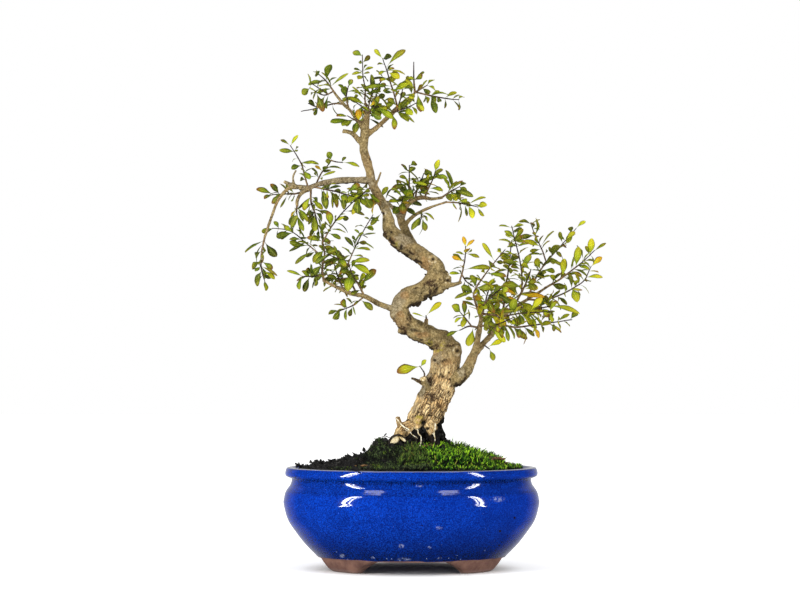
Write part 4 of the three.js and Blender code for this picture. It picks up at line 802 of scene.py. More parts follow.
LIMBS = {
    "left_arm": (2.7, 1.9, [[-31, -3, 310], [-45, -6, 310], [-60, -9, 309], [-73, -12, 306.5], [-84, -14, 302]]),
    "left_arm_end": (1.8, 1.4, [[-82, -14, 302.5], [-93, -15, 304.5], [-101.5, -15, 308]]),
    "left_arm_peg": (1, 0.8, [[-93, -15, 304], [-94, -17, 311], [-91.5, -18, 317]]),
    "left_arm_droop": (1.5, 1, [[-91, -15, 304], [-98, -17, 302], [-105.5, -20, 293], [-110, -23, 281],
        [-116, -27, 262]]),
    "left_arm_under": (1.6, 1.2, [[-82, -14, 302.5], [-88, -12, 298.5], [-91, -10, 293], [-91, -10, 288]]),
    "low_left": (2.5, 1.2, [[-9, -6, 205], [-25, -12, 210.5], [-37, -16, 216.5], [-50, -20, 219.5], [-70, -26, 229]]),
    "mid_limb": (3.6, 2.9, [[6, 6, 252], [0, 12, 262], [-5, 17, 272], [-8, 20, 279], [-9.5, 22, 285]]),
    "mid_stub": (2.1, 1.5, [[-9, 22, 282], [-13, 24, 288], [-20, 26, 295.5]]),
    "mid_upper": (2.4, 1.2, [[-9, 22, 282], [-4, 24, 291], [1, 26, 296.5], [9, 28, 299], [17, 30, 298],
        [26, 32, 299.5]]),
    "mid_lower": (1.7, 1, [[-6, 18, 275], [-0.5, 17, 281], [6, 15, 285.5], [15, 12, 289.5], [29, 9, 294]]),
    "knot_limb": (2.9, 1.3, [[12, -3, 219.5], [22, -5, 221], [28, -6, 225.5], [34, -7, 226.3], [40, -8, 228.5]]),
    "knot_stub": (2.4, 1.6, [[27, -6, 224], [29.5, -4, 229], [30, -2, 233.5]]),
    "right_limb": (6, 3.1, [[26, 3, 149], [37, -1, 151.5], [43.5, -3, 158], [48, -5, 167], [51.5, -6, 174.5]]),
    "right_inner": (2.4, 1.9, [[51, -6, 173], [52.8, -9, 184.6], [54.7, -11, 194.3], [55.6, -13, 200]]),
    "right_outer": (2.4, 1.5, [[51, -6, 172.5], [58.5, -4, 180.7], [65.3, -2, 188.5], [73, 4, 201], [83, 9, 209]]),
    "right_reach": (1.6, 1, [[82, 8.5, 208], [95, 13, 216], [110, 16, 225.5]]),
    "crown_left": (1.9, 1, [[-38, 1, 351], [-43, -3, 358], [-49, -6, 366], [-55, -9, 371.5], [-62, -12, 380]]),
    "crown_stub": (2.3, 1.8, [[-38, 0, 339], [-43, -2, 343.5], [-48, -4, 348], [-55, -6, 349.5]]),
    "crown_right": (2.1, 1.5, [[-37, 1, 346], [-26, 4, 355], [-18.5, 6, 362.5], [-10, 8, 371], [-2, 10, 378]]),
    "scar_stub": (4.2, 3.3, [[-9, 1, 263], [-17, -5, 265.5], [-20.5, -8, 268]]),
    "low_stub": (2.2, 2.7, [[18, -3, 139], [12.6, -7, 145], [10.4, -9, 149], [9, -10, 152.6]]),
    "low_stub_arm": (1.5, 0.9, [[12, -8, 146], [6.5, -10, 149], [3, -10.5, 150.8], [-0.4, -10, 152]]),
    "low_peg": (1.0, 0.6, [[11, -5, 140], [7, -6, 140.8]]),
    "wart_a": (1.0, 0.7, [[-7, -6, 216], [-10, -7, 220.5]]),
    "wart_b": (0.9, 0.7, [[13, 5, 234], [10.4, 6, 235.6]]),
    "wart_c": (1.0, 0.8, [[-8, 4, 255.5], [-10.5, 4, 252.8]]),
    "wart_d": (1.0, 0.7, [[4.5, 6, 248], [2.4, 6, 245.2]]),
    "wart_low": (1.9, 1.3, [[6, -7, 213], [4.5, -7, 208.6]]),
    "wart_mid": (1.3, 0.9, [[15, -4, 217.5], [16, -4, 213.8]]),
    "mid_peg": (2.1, 1.5, [[11, -2, 189], [11.5, -9, 195], [12, -11, 199]]),
    "upper_peg": (1.2, 0.8, [[-30, -3, 305], [-27, -5, 309.5], [-24.3, -7, 316.5]]),
}
ROOTS = {
    "left_root": (5.6, 3, [[6, -3, 114], [-5, -8, 112], [-10.5, -12, 106], [-13, -17, 101]]),
    "left_stub": (2.4, 1.7, [[-6, -8, 110], [-9.5, -9, 115], [-11, -9, 121]]),
    "front_root": (5.2, 2.6, [[13, -6, 114], [17, -13, 105], [21, -23, 96], [25, -34, 88]]),
    "right_root": (5.4, 2.4, [[16, 2, 117], [21.8, 3, 107], [24, 4, 98], [31, 5, 91.5], [46, 8, 84]]),
    "back_root": (5.4, 2.4, [[10, 8, 114], [6, 17, 103], [1, 29, 92], [-4, 41, 82]]),
    "far_left_root": (4.8, 2.2, [[0, 4, 108], [-12, 6, 100], [-26, 9, 90], [-40, 12, 80]]),
}
BURRS = [
    [34, 4, 172.5, 6.5, 6, 9.5], [-5.5, -3, 190, 5.6, 5, 3.6], [27, -1, 233, 3.4, 4, 5],
    [18.5, 5, 122, 8, 8, 10],
]
KNOTS = [  # old pruning scars on the front: place across, height, half width, relief
    [-23.4, 283.1, 4.2, 1.0], [-33, 327, 3.4, 0.7], [17.2, 246.9, 4.4, 1.0], [29, 229.5, 3.6, 1.3],
    [-7.6, 184.7, 2.6, 1.1], [36.5, 173.5, 5.0, 1.1], [-27.5, 300, 2.2, 0.6], [19, 166, 4.4, 0.9],
    [22, 153, 3.4, 0.7], [-16, 268, 3.2, 0.9], [8, 219, 2.6, 0.6],
]
CUTS = [  # freshly sawn or broken ends, pale inside: centre and radius
    [-13.5, -19, 101, 3.6], [8.8, -12, 152.6, 3.0], [-8, -22, 101.5, 2.0], [30.2, -2.5, 234.5, 2.0],
]
WORN, CRUST, GREY, LICHEN = 0, 1, 2, 3
PATCHES = [  # kind of bark, and for each patch the place across, height, half width and half height
    (WORN, [[22, 150.5, 6.5, 3.8], [22, 131.5, 5, 4], [11.5, 242, 4.5, 6], [-15.5, 261.5, 3.5, 2.2],
        [-5.5, 218, 3.4, 3], [8, 186.5, 6, 2.6], [-9, 202, 3, 2.6], [28, 164, 4, 3], [-28, 292, 3, 5],
        [19.7, 172, 3, 2.5]]),
    # Crust patches are crusted dark bark; the one at 9.4 across and 117.5 high is painted shade in the hollow over
    # the roots.
    (CRUST, [[17.2, 137, 6, 4.2], [25, 153.6, 1.8, 1.5], [15.9, 226, 3, 5], [11.8, 227.5, 3, 2.2],
        [-5.8, 190.8, 4.5, 2.6], [-5, 187.8, 2.6, 1.6], [6.8, 186, 2, 1.4], [-1.4, 201, 2, 4.5], [34, 177.5, 6, 1.4],
        [2.5, 151, 3.6, 2.2], [9.4, 117.5, 2.6, 3.6], [26.5, 165.8, 3.4, 1.2], [30, 139, 1.5, 3], [28.5, 129, 1.2, 3],
        [4.2, 223.8, 2, 1.2], [18.5, 224, 2.2, 6], [20.4, 176, 3.6, 3.0], [15, 150, 1.8, 4], [6.5, 147.5, 2.4, 2],
        [40, 172, 1.6, 5], [3, 150, 4.5, 2], [13.5, 149, 1.2, 3], [11.5, 197, 1.6, 6], [-20.5, 266.5, 2.2, 3.4],
        [23, 229.5, 1.2, 2.2], [20.5, 226.5, 1.2, 2.4], [18, 223.5, 1.3, 2.4], [15.5, 220.5, 1.4, 2.2],
        [29.5, 230, 1.8, 3.4], [43, 152.5, 1.0, 4], [39.5, 172, 1.4, 3]]),
    (GREY, [[39.5, 157, 3, 4], [9, 141, 3, 5], [2, 130, 4, 6], [14, 152, 4, 7], [20, 168, 6, 6], [-14, 215, 7, 14],
        [-12, 296, 9, 14], [-6, 262, 8, 5]]),
    (LICHEN, [[14.2, 180.2, 3.2, 2.2], [25.5, 178.3, 3.2, 2.6], [20, 174, 5, 1.6], [-10.6, 259, 3, 1.8],
        [6, 119, 3.4, 3.4]]),
    (GREY, [[-62, 308, 34, 9]]),
]
TRUNK_SIDES, LIMB_SIDES = 40, 16
TRUNK_STEPS, LIMB_STEPS = 10, 9
WOOD_VOXEL = 0.665
BLOCK = 6000  # points whose nearest wood is looked up at once
ROD_GAP = 71.3  # keeps the grain of one length of wood apart from that of the next
BARK_TOP = 113  # below this height the bark is black with soil


def wood_rods():
    """Every length of wood as a smooth line of places with a radius at each: the trunk's own radii, and for limbs
    and roots one that falls evenly from foot to tip, swollen at its joints and at chance places in between."""
    rods = [("trunk", through(TRUNK, TRUNK_STEPS))]
    for kind, table in (("limb", LIMBS), ("root", ROOTS)):
        for name, (first, last, route) in table.items():
            line = through(route, LIMB_STEPS)
            radius = np.linspace(first, last, len(line))
            knobs = lattice_noise(line, 5.5, len(name))
            collar = 0.3 * bell(np.arange(len(line)) / 5.0)
            rods.append((kind + name, np.column_stack([line, radius * (1 + 0.1 * knobs + collar)])))
    return rods


def rough_rods(rods):
    """Round tubes for the rods, and balls for the burrs. The trunk's radius is fluted by two waves round it that
    turn as it climbs."""
    solids = []
    for kind, rod in rods:
        sides = TRUNK_SIDES if kind == "trunk" else LIMB_SIDES
        share, turn = np.linspace(0, 1, len(rod))[:, None], turns(sides)
        waves = 0.075 * np.sin(3 * turn + 7 * share) + 0.05 * np.sin(5 * turn - 11 * share)
        flutes = 1 + waves * (1 - 0.6 * share) * (kind == "trunk")
        solids.append(tube(rod[:, :3], rod[:, 3:] * flutes, sides)[None])
    level = np.cos(np.linspace(0.06, np.pi - 0.06, 9))[::-1, None]
    wide, turn = np.sqrt(1 - level**2), turns(LIMB_SIDES)
    for x, y, z, a, b, c in BURRS:
        ring = np.stack([x + a * wide * np.cos(turn), y + b * wide * np.sin(turn), z + c * level + 0 * turn], -1)
        solids.append(ring[None])
    return joined("rods", solids)


def fused(mesh):
    """One skin over all the overlapping tubes, from a voxel remesh, smoothed a little."""
    body = placed("fused", mesh)
    skin = body.modifiers.new("skin", "REMESH")
    skin.mode, skin.voxel_size = "VOXEL", WOOD_VOXEL * 0.001
    ease = body.modifiers.new("ease", "SMOOTH")
    ease.factor, ease.iterations = 0.5, 3
    return worked(body)


def numbers(collection, name):
    """A vector of each of a mesh's elements, as one array."""
    values = np.empty(len(collection) * 3, np.float32)
    collection.foreach_get(name, values)
    return values.reshape(-1, 3).astype(float)


def straightened(points, rods):
    """Where each point lies on its own length of wood, as if that were laid out straight: its two distances across
    and its distance along, in millimetres, and the wood's radius there and its number. A point belongs to the place
    that has the least square of distance less square of radius."""
    found = []
    for number, (_, rod) in enumerate(rods):
        along = reached(rod[:, :3]) + ROD_GAP * number
        found.append((rod, *directions(rod[:, :3]), along, np.full(len(rod), number)))
    joints, tangents, first, second, along, numbers_of = map(np.concatenate, zip(*found))
    near = []
    for block in np.array_split(points, max(1, len(points) // BLOCK)):
        score = -2 * block @ joints[:, :3].T + (joints[:, :3] ** 2).sum(1) - joints[:, 3] ** 2
        near.append(score.argmin(1))
    near = np.concatenate(near)
    off = points - joints[near, :3]
    place = [(off * first[near]).sum(1), (off * second[near]).sum(1), (off * tangents[near]).sum(1) + along[near]]
    return np.column_stack(place), joints[near, 3], numbers_of[near]


def bark(mesh, rods):
    """Moves the skin out and in along its normals: broad lumps, ridges that run with the grain, pits in the old
    bark, warts on the undersides, and rings round knots. Stores the straightened place, and how rough, dark, cut
    and soiled the bark is; its darkness holds painted shade on faces that turn down or to the right, as well as pits,
    cracks, warts and knots."""
    points = numbers(mesh.vertices, "co") * 1000 - POT_CENTRE
    normals = numbers(mesh.vertex_normals, "vector")
    grain, radius, number = straightened(points, rods)
    kinds = np.array([kind for kind, _ in rods])[number]
    height = points[:, 2]
    # Painted shade: darker on faces that turn down and to the right, with noise.
    under = clipped(-normals[:, 2] * 1.3 + 0.35 * normals[:, 0] - 0.25 + 0.7 * lattice_noise(points, 3.4, 21))
    old = np.clip((215 - height) / 80, 0.22, 1) * np.where(np.char.startswith(kinds, "limb"), 0.45, 1)
    girth = np.clip(radius / 7, 0.12, 1.2)
    thick, most_girth = np.minimum(girth * 1.7, 1), np.minimum(girth, 1)
    lumps = 0.75 * lattice_noise(points, 9, 5) + 0.5 * lattice_noise(points, 4.3, 6)
    ridges = 0.5 - np.abs(lattice_noise(grain * [1, 1, 0.27], 2.6, 7))
    fine = 0.5 - np.abs(lattice_noise(grain * [1, 1, 0.35], 1.4, 8))
    wrinkles = lattice_noise(grain * [0.4, 0.4, 1], 1.9, 9)
    pits = clipped((lattice_noise(points, 2.6, 10) + 0.5 * lattice_noise(points, 8, 11) - 0.5) / 0.4)
    pits = pits * clipped(old * 1.5 - 0.35)
    flaky = clipped((lattice_noise(grain * [1, 1, 0.5], 4.2, 19) - 0.1) / 0.25) * old * most_girth
    move = girth * lumps + old * (0.75 * ridges + 0.45 * fine) + 0.22 * girth * wrinkles
    move = move + 0.45 * flaky - 1.1 * pits * most_girth
    warts = clipped((lattice_noise(points, 2.3, 22) - 0.1) / 0.3) * clipped(-normals[:, 2] * 2.2 - 0.3) * most_girth
    move = move + 0.9 * warts
    # Painted shade: darkest on faces that turn steeply down.
    sides = clipped((-normals[:, 2] - 0.66) / 0.25) * np.clip(0.55 + lattice_noise(points, 4, 23), 0.15, 1)
    warts = np.maximum(warts, 0.85 * np.char.startswith(kinds, "limbwart"))
    cracks = clipped(-ridges * 2 - 0.25) * old
    # The darkness holds real pits, cracks and warts, and painted shade on the undersides.
    dark = clipped(pits + 0.55 * cracks + thick * (0.36 * under + 0.8 * sides) + 0.9 * warts)
    front, cut = clipped(-normals[:, 1] * 2.5), np.zeros(len(points))
    for x, z, size, relief in KNOTS:
        far = np.hypot(points[:, 0] - x, points[:, 2] - z) / size
        swell = bell(far / 1.1) - 0.9 * bell(far / 0.38)
        rings = 0.16 * np.cos(far * 9.5) * bell(far / 1.2)
        move += front * relief * (swell + rings)
        dark = np.maximum(dark, front * (bell(far / 0.36) + 0.3 * bell((far - 0.95) / 0.25)))
        if relief >= 1:
            cut = np.maximum(cut, 0.55 * front * bell((far - 0.66) / 0.16))
    for x, y, z, size in CUTS:
        far = np.linalg.norm(points - [x, y, z], axis=1)
        cut = np.maximum(cut, clipped((size - far) / 0.8 + 0.5))
    patch = np.zeros((4, len(points)))
    for number, (kind, (x, z, wide, high)) in enumerate((kind, row) for kind, rows in PATCHES for row in rows):
        far = np.hypot((points[:, 0] - x) / wide, (points[:, 2] - z) / high)
        far = far + 0.5 * lattice_noise(points, 2.6, 40 + number)
        patch[kind] = np.maximum(patch[kind], front * clipped((1.2 - far) / 0.5))
    move = move - 0.7 * patch[CRUST] * most_girth
    tongue = 5 * bell((points[:, 0] - 9) / 3) - 5 * bell((points[:, 0] - 15) / 3.5)
    ragged = BARK_TOP + 3.5 * lattice_noise(points, 5, 12) + 1.5 * lattice_noise(points, 2, 13) + tongue
    soiled = clipped((ragged - height) / 2.5)
    light_root = np.isin(kinds, ["rootleft_stub", "rootleft_root"])
    soiled = np.where(light_root, clipped((103 - height + 3 * lattice_noise(points, 3, 14)) / 3), soiled)
    soiled = np.where(np.isin(kinds, ["rootright_root"]), 1, soiled) * (1 - cut)
    move = move * (1 - 0.8 * cut) + soiled * 0.5 * lattice_noise(points, 1.7, 15)
    moved = points + normals * move[:, None]
    mesh.vertices.foreach_set("co", ((moved + POT_CENTRE) * 0.001).astype(np.float32).ravel())
    store(mesh, "grain", grain)
    store(mesh, "bark", np.column_stack([old, dark, cut]))
    store(mesh, "patch", patch[:3].T)
    store(mesh, "soiled", np.column_stack([soiled, patch[LICHEN], old]))
    mesh.update()
    mesh.shade_smooth()


def living_bark():
    """Bark: smooth and mottled grey-tan above, and below golden plates that are long with the grain, with brown
    cracks between them. It is worn orange, crusted dark, grey or yellow with lichen in patches, cream where it is
    cut, and black where wet soil sticks to it. Painted shade darkens it on faces that turn down or to the right, and
    in the hollow over the roots."""
    f = Finish("pomegranate_bark", specular=0.2)
    grain = f.attribute("grain")
    old, dark, cut = f.parts(f.attribute("bark"))
    worn, crust, grey = f.parts(f.attribute("patch"))
    soiled, lichen, _ = f.parts(f.attribute("soiled"))
    waves = f.scaled(f.noise(1.0, 3, 0.6, f.scaled(grain, 0.34, 0.34, 0.2)).node.outputs["Color"], 1.3, 1.3, 0.9)
    plates = f.add("VectorMath", {0: f.scaled(grain, 0.46, 0.46, 0.13), 1: waves}, operation="ADD")
    edges = f.add("TexVoronoi", {"Vector": plates, "Scale": 1.0}, feature="DISTANCE_TO_EDGE")
    own = f.part(f.add("TexVoronoi", {"Vector": plates, "Scale": 1.0}).node.outputs["Color"], "X")
    streaks = f.noise(1.0, 4, 0.65, f.scaled(grain, 0.9, 0.9, 0.32))
    grit = f.noise(1.0, 3, 0.7, f.scaled(grain, 2.6, 2.6, 1.5))
    mottle, patches = f.noise(170, 5, 0.62), f.noise(60, 4, 0.6)
    fine = f.noise(620, 4, 0.7)
    smooth = f.over("54472a", "8c784c", mottle, 0.36, 0.62)
    smooth = f.over(smooth, "8c6d46", patches, 0.46, 0.66, 0.5)
    smooth = f.over(smooth, "b8a478", fine, 0.50, 0.62, 0.5)
    smooth = f.over(smooth, "4a3b20", fine, 0.46, 0.36, 0.6)
    smooth = f.over(smooth, "5e5034", streaks, 0.54, 0.70, 0.6)
    smooth = f.over(smooth, "d0c096", grit, 0.56, 0.70, 0.5)
    gold = f.over("c09556", "f4d294", own, 0.1, 0.9)
    gold = f.over(gold, "7a5426", streaks, 0.46, 0.62, 0.75)
    gold = f.over(gold, "f6e4b8", grit, 0.50, 0.62, 0.85)
    paint = f.over(smooth, gold, old, 0.4, 0.9)
    ashen = f.over("6f6650", "a99e86", fine, 0.38, 0.62)
    paint = f.mix(f.times(grey, f.span(mottle, 0.3, 0.6, 0.25, 0.6)), paint, ashen)
    tan = f.over("a3794a", "d8a869", old, 0.4, 0.85)
    orange = f.over("6f4c26", tan, fine, 0.38, 0.6)
    paint = f.mix(f.times(worn, f.span(grit, 0.4, 0.6, 0.25, 0.68)), paint, orange)
    gaps = f.times(f.span(edges, 0.17, 0.03), f.span(patches, 0.62, 0.44))
    paint = f.mix(f.times(gaps, f.span(old, 0.4, 0.95, 0.0, 0.95)), paint, "3a230f")
    rim = f.maths("ABSOLUTE", f.maths("SUBTRACT", streaks, 0.5))
    lines = f.times(f.span(rim, 0.02, 0.006), f.span(patches, 0.4, 0.55, 0, 0.7))
    paint = f.mix(lines, paint, "4a3a20")
    # Crusted dark in patches, and painted shade where a crust patch fills the hollow over the roots.
    ragged = f.times(crust, f.span(f.noise(520, 3, 0.7), 0.36, 0.54))
    paint = f.mix(f.times(ragged, 0.92), paint, "2b180a")
    yellow = f.times(lichen, f.span(f.noise(420, 3, 0.7), 0.40, 0.56))
    paint = f.mix(f.times(yellow, 0.7), paint, "a8993a")
    # Darkened by the stored darkness: pits, cracks, warts and knots, and painted shade on the undersides.
    paint = f.over(paint, "1e1308", dark, 0.15, 0.9, 0.92)
    paint = f.mix(cut, paint, f.over("b0945f", "f0e4c2", f.noise(500, 3), 0.4, 0.6))
    soil_tone = f.over("070605", "2a2014", f.noise(330, 5, 0.7), 0.45, 0.66)
    paint = f.mix(soiled, paint, soil_tone)
    ridges = f.times(f.span(edges, 0.0, 0.3), f.span(old, 0.3, 0.9))
    relief = f.plus(f.plus(ridges, f.times(streaks, -0.5)), f.times(grit, 0.4))
    return f.done(paint, f.span(patches, 0.3, 0.7, 0.7, 0.9), f.bump(relief, 1.1, 0.95))


rods = wood_rods()
skin = fused(rough_rods(rods))
bark(skin, rods)
skin.name = "trunk_and_limbs"
piece("trunk_and_limbs", skin, [living_bark()], ["trunk"])

# ---------- rootlets ----------
# Pale new rootlets hang over the dark root crown, and a dark old root arches over a cut one at the left.

ROOTLETS = [
    [[-12, -17, 120], [-8, -19, 115], [-4.5, -20, 112.5], [-2.5, -20.5, 111.5], [0.5, -22, 107.5],
     [4.5, -23.5, 104.5]],
    [[2, -17, 112.5], [4.8, -19, 111], [5.5, -20.5, 108.2], [7.6, -22, 105.4], [7, -23.5, 99.6], [6.6, -24.5, 96]],
    [[18.7, -15, 116], [18.4, -16.5, 112], [17.7, -18, 108], [18.3, -20, 104], [18, -22, 100]],
    [[16, -17.5, 108.2], [17.2, -18.2, 107.6], [17.8, -19, 106]],
    [[-10, -17.5, 117], [-7, -19.5, 113.6], [-4, -20.6, 110.6], [-1.5, -21.5, 109.5]],
    [[-17.7, -22, 99.8], [-16.9, -23, 103.4], [-15, -24, 106], [-12.2, -24, 107.2], [-8.5, -24, 106.8],
     [-5.4, -23, 105], [-4, -21, 102.8]],
    [[-17, -22, 105], [-21, -20, 106.2], [-24, -19, 105.2]],
]
ROOTLET_RADII = [0.44, 0.46, 0.54, 0.3, 0.3, 0.85, 0.35]
CUT_SHARES = np.array([[0, 0.7], [0.4, 0.85], [0.8, 1.0], [0.93, 1.0], [1.0, 0.86], [1.01, 0.4]])  # place and width
CUT_ROOTS = [  # pale sawn ends: back and front of the middle line, half width, half height, point and lean
    [[-12, -12, 103], [-13, -23.2, 103.2], 3.6, 2.6, 1.4, 40],
    [[-8, -15, 104], [-6.5, -23.4, 103.6], 2.9, 1.1, 0.8, -38],
]


def wandering(line, size, seed):
    """Noise in all three directions at each place of a line."""
    return np.column_stack([lattice_noise(line, size, seed + k) for k in range(3)])


def rootlet_rings():
    """Each rootlet is a smooth line whose radius swells and thins by noise and tapers to its tip."""
    made = []
    for number, (route, radius) in enumerate(zip(ROOTLETS, ROOTLET_RADII)):
        line = through(route, 10)
        share = np.linspace(0, 1, len(line))
        line = line + 0.35 * wandering(line, 2.2, 20)
        girth = radius * (1 - 0.55 * share**3) * (1 + 0.2 * lattice_noise(line, 1.6, number))
        made.append(tube(line, girth, 8)[None])
    return made


def young_root(name, first, second):
    f = Finish(name, specular=0.35)
    paint = f.over(first, second, f.noise(420, 4), 0.38, 0.64)
    return f.done(paint, 0.6, f.bump(f.noise(800, 3), 0.2, 0.6))


def cut_root_rings():
    """Each sawn end is a tube with a slightly domed face. Its section is an oval that is drawn out to a point on its
    left, and leans."""
    made, turn = [], turns(24)
    share, swell = CUT_SHARES[:, :1], CUT_SHARES[:, 1:]
    for back, front, wide, high, point, lean in CUT_ROOTS:
        middle = np.array(back) + (np.array(front) - back) * share
        x = wide * swell * (np.cos(turn) - point * clipped(-np.cos(turn)) ** 6 * 0.4)
        z = high * swell * np.sin(turn)
        tilt = np.radians(lean)
        ring = np.stack([x * np.cos(tilt) - z * np.sin(tilt), 0 * x, x * np.sin(tilt) + z * np.cos(tilt)], -1)
        made.append((middle[:, None] + ring)[None])
    return made


def sawn_wood():
    f = Finish("sawn_root", specular=0.25)
    paint = f.over("b39a62", "efe3c0", f.noise(260, 4, 0.7), 0.35, 0.65)
    paint = f.over(paint, "8a7a34", f.noise(150, 2), 0.58, 0.75, 0.7)
    return f.done(paint, 0.75, f.bump(f.noise(500, 4), 0.3, 0.7))


rootlets = rootlet_rings()
for name, solids, finish in (
    ("pale_rootlets", rootlets[:5], young_root("pale_rootlet", "a08c62", "efe8cf")),
    ("arching_root", rootlets[5:], young_root("old_dark_root", "120d08", "33281a")),
    ("cut_root_ends", cut_root_rings(), sawn_wood()),
):
    piece(name, joined(name, solids), [finish])

# ---------- leafy sprays ----------
# Each spray is a group of thin twigs, purple-brown where they are young, with narrow leathery leaves in opposite
# pairs, each pair turned a quarter from the last, and tufts of smaller leaves at the joints. It grew as one piece.

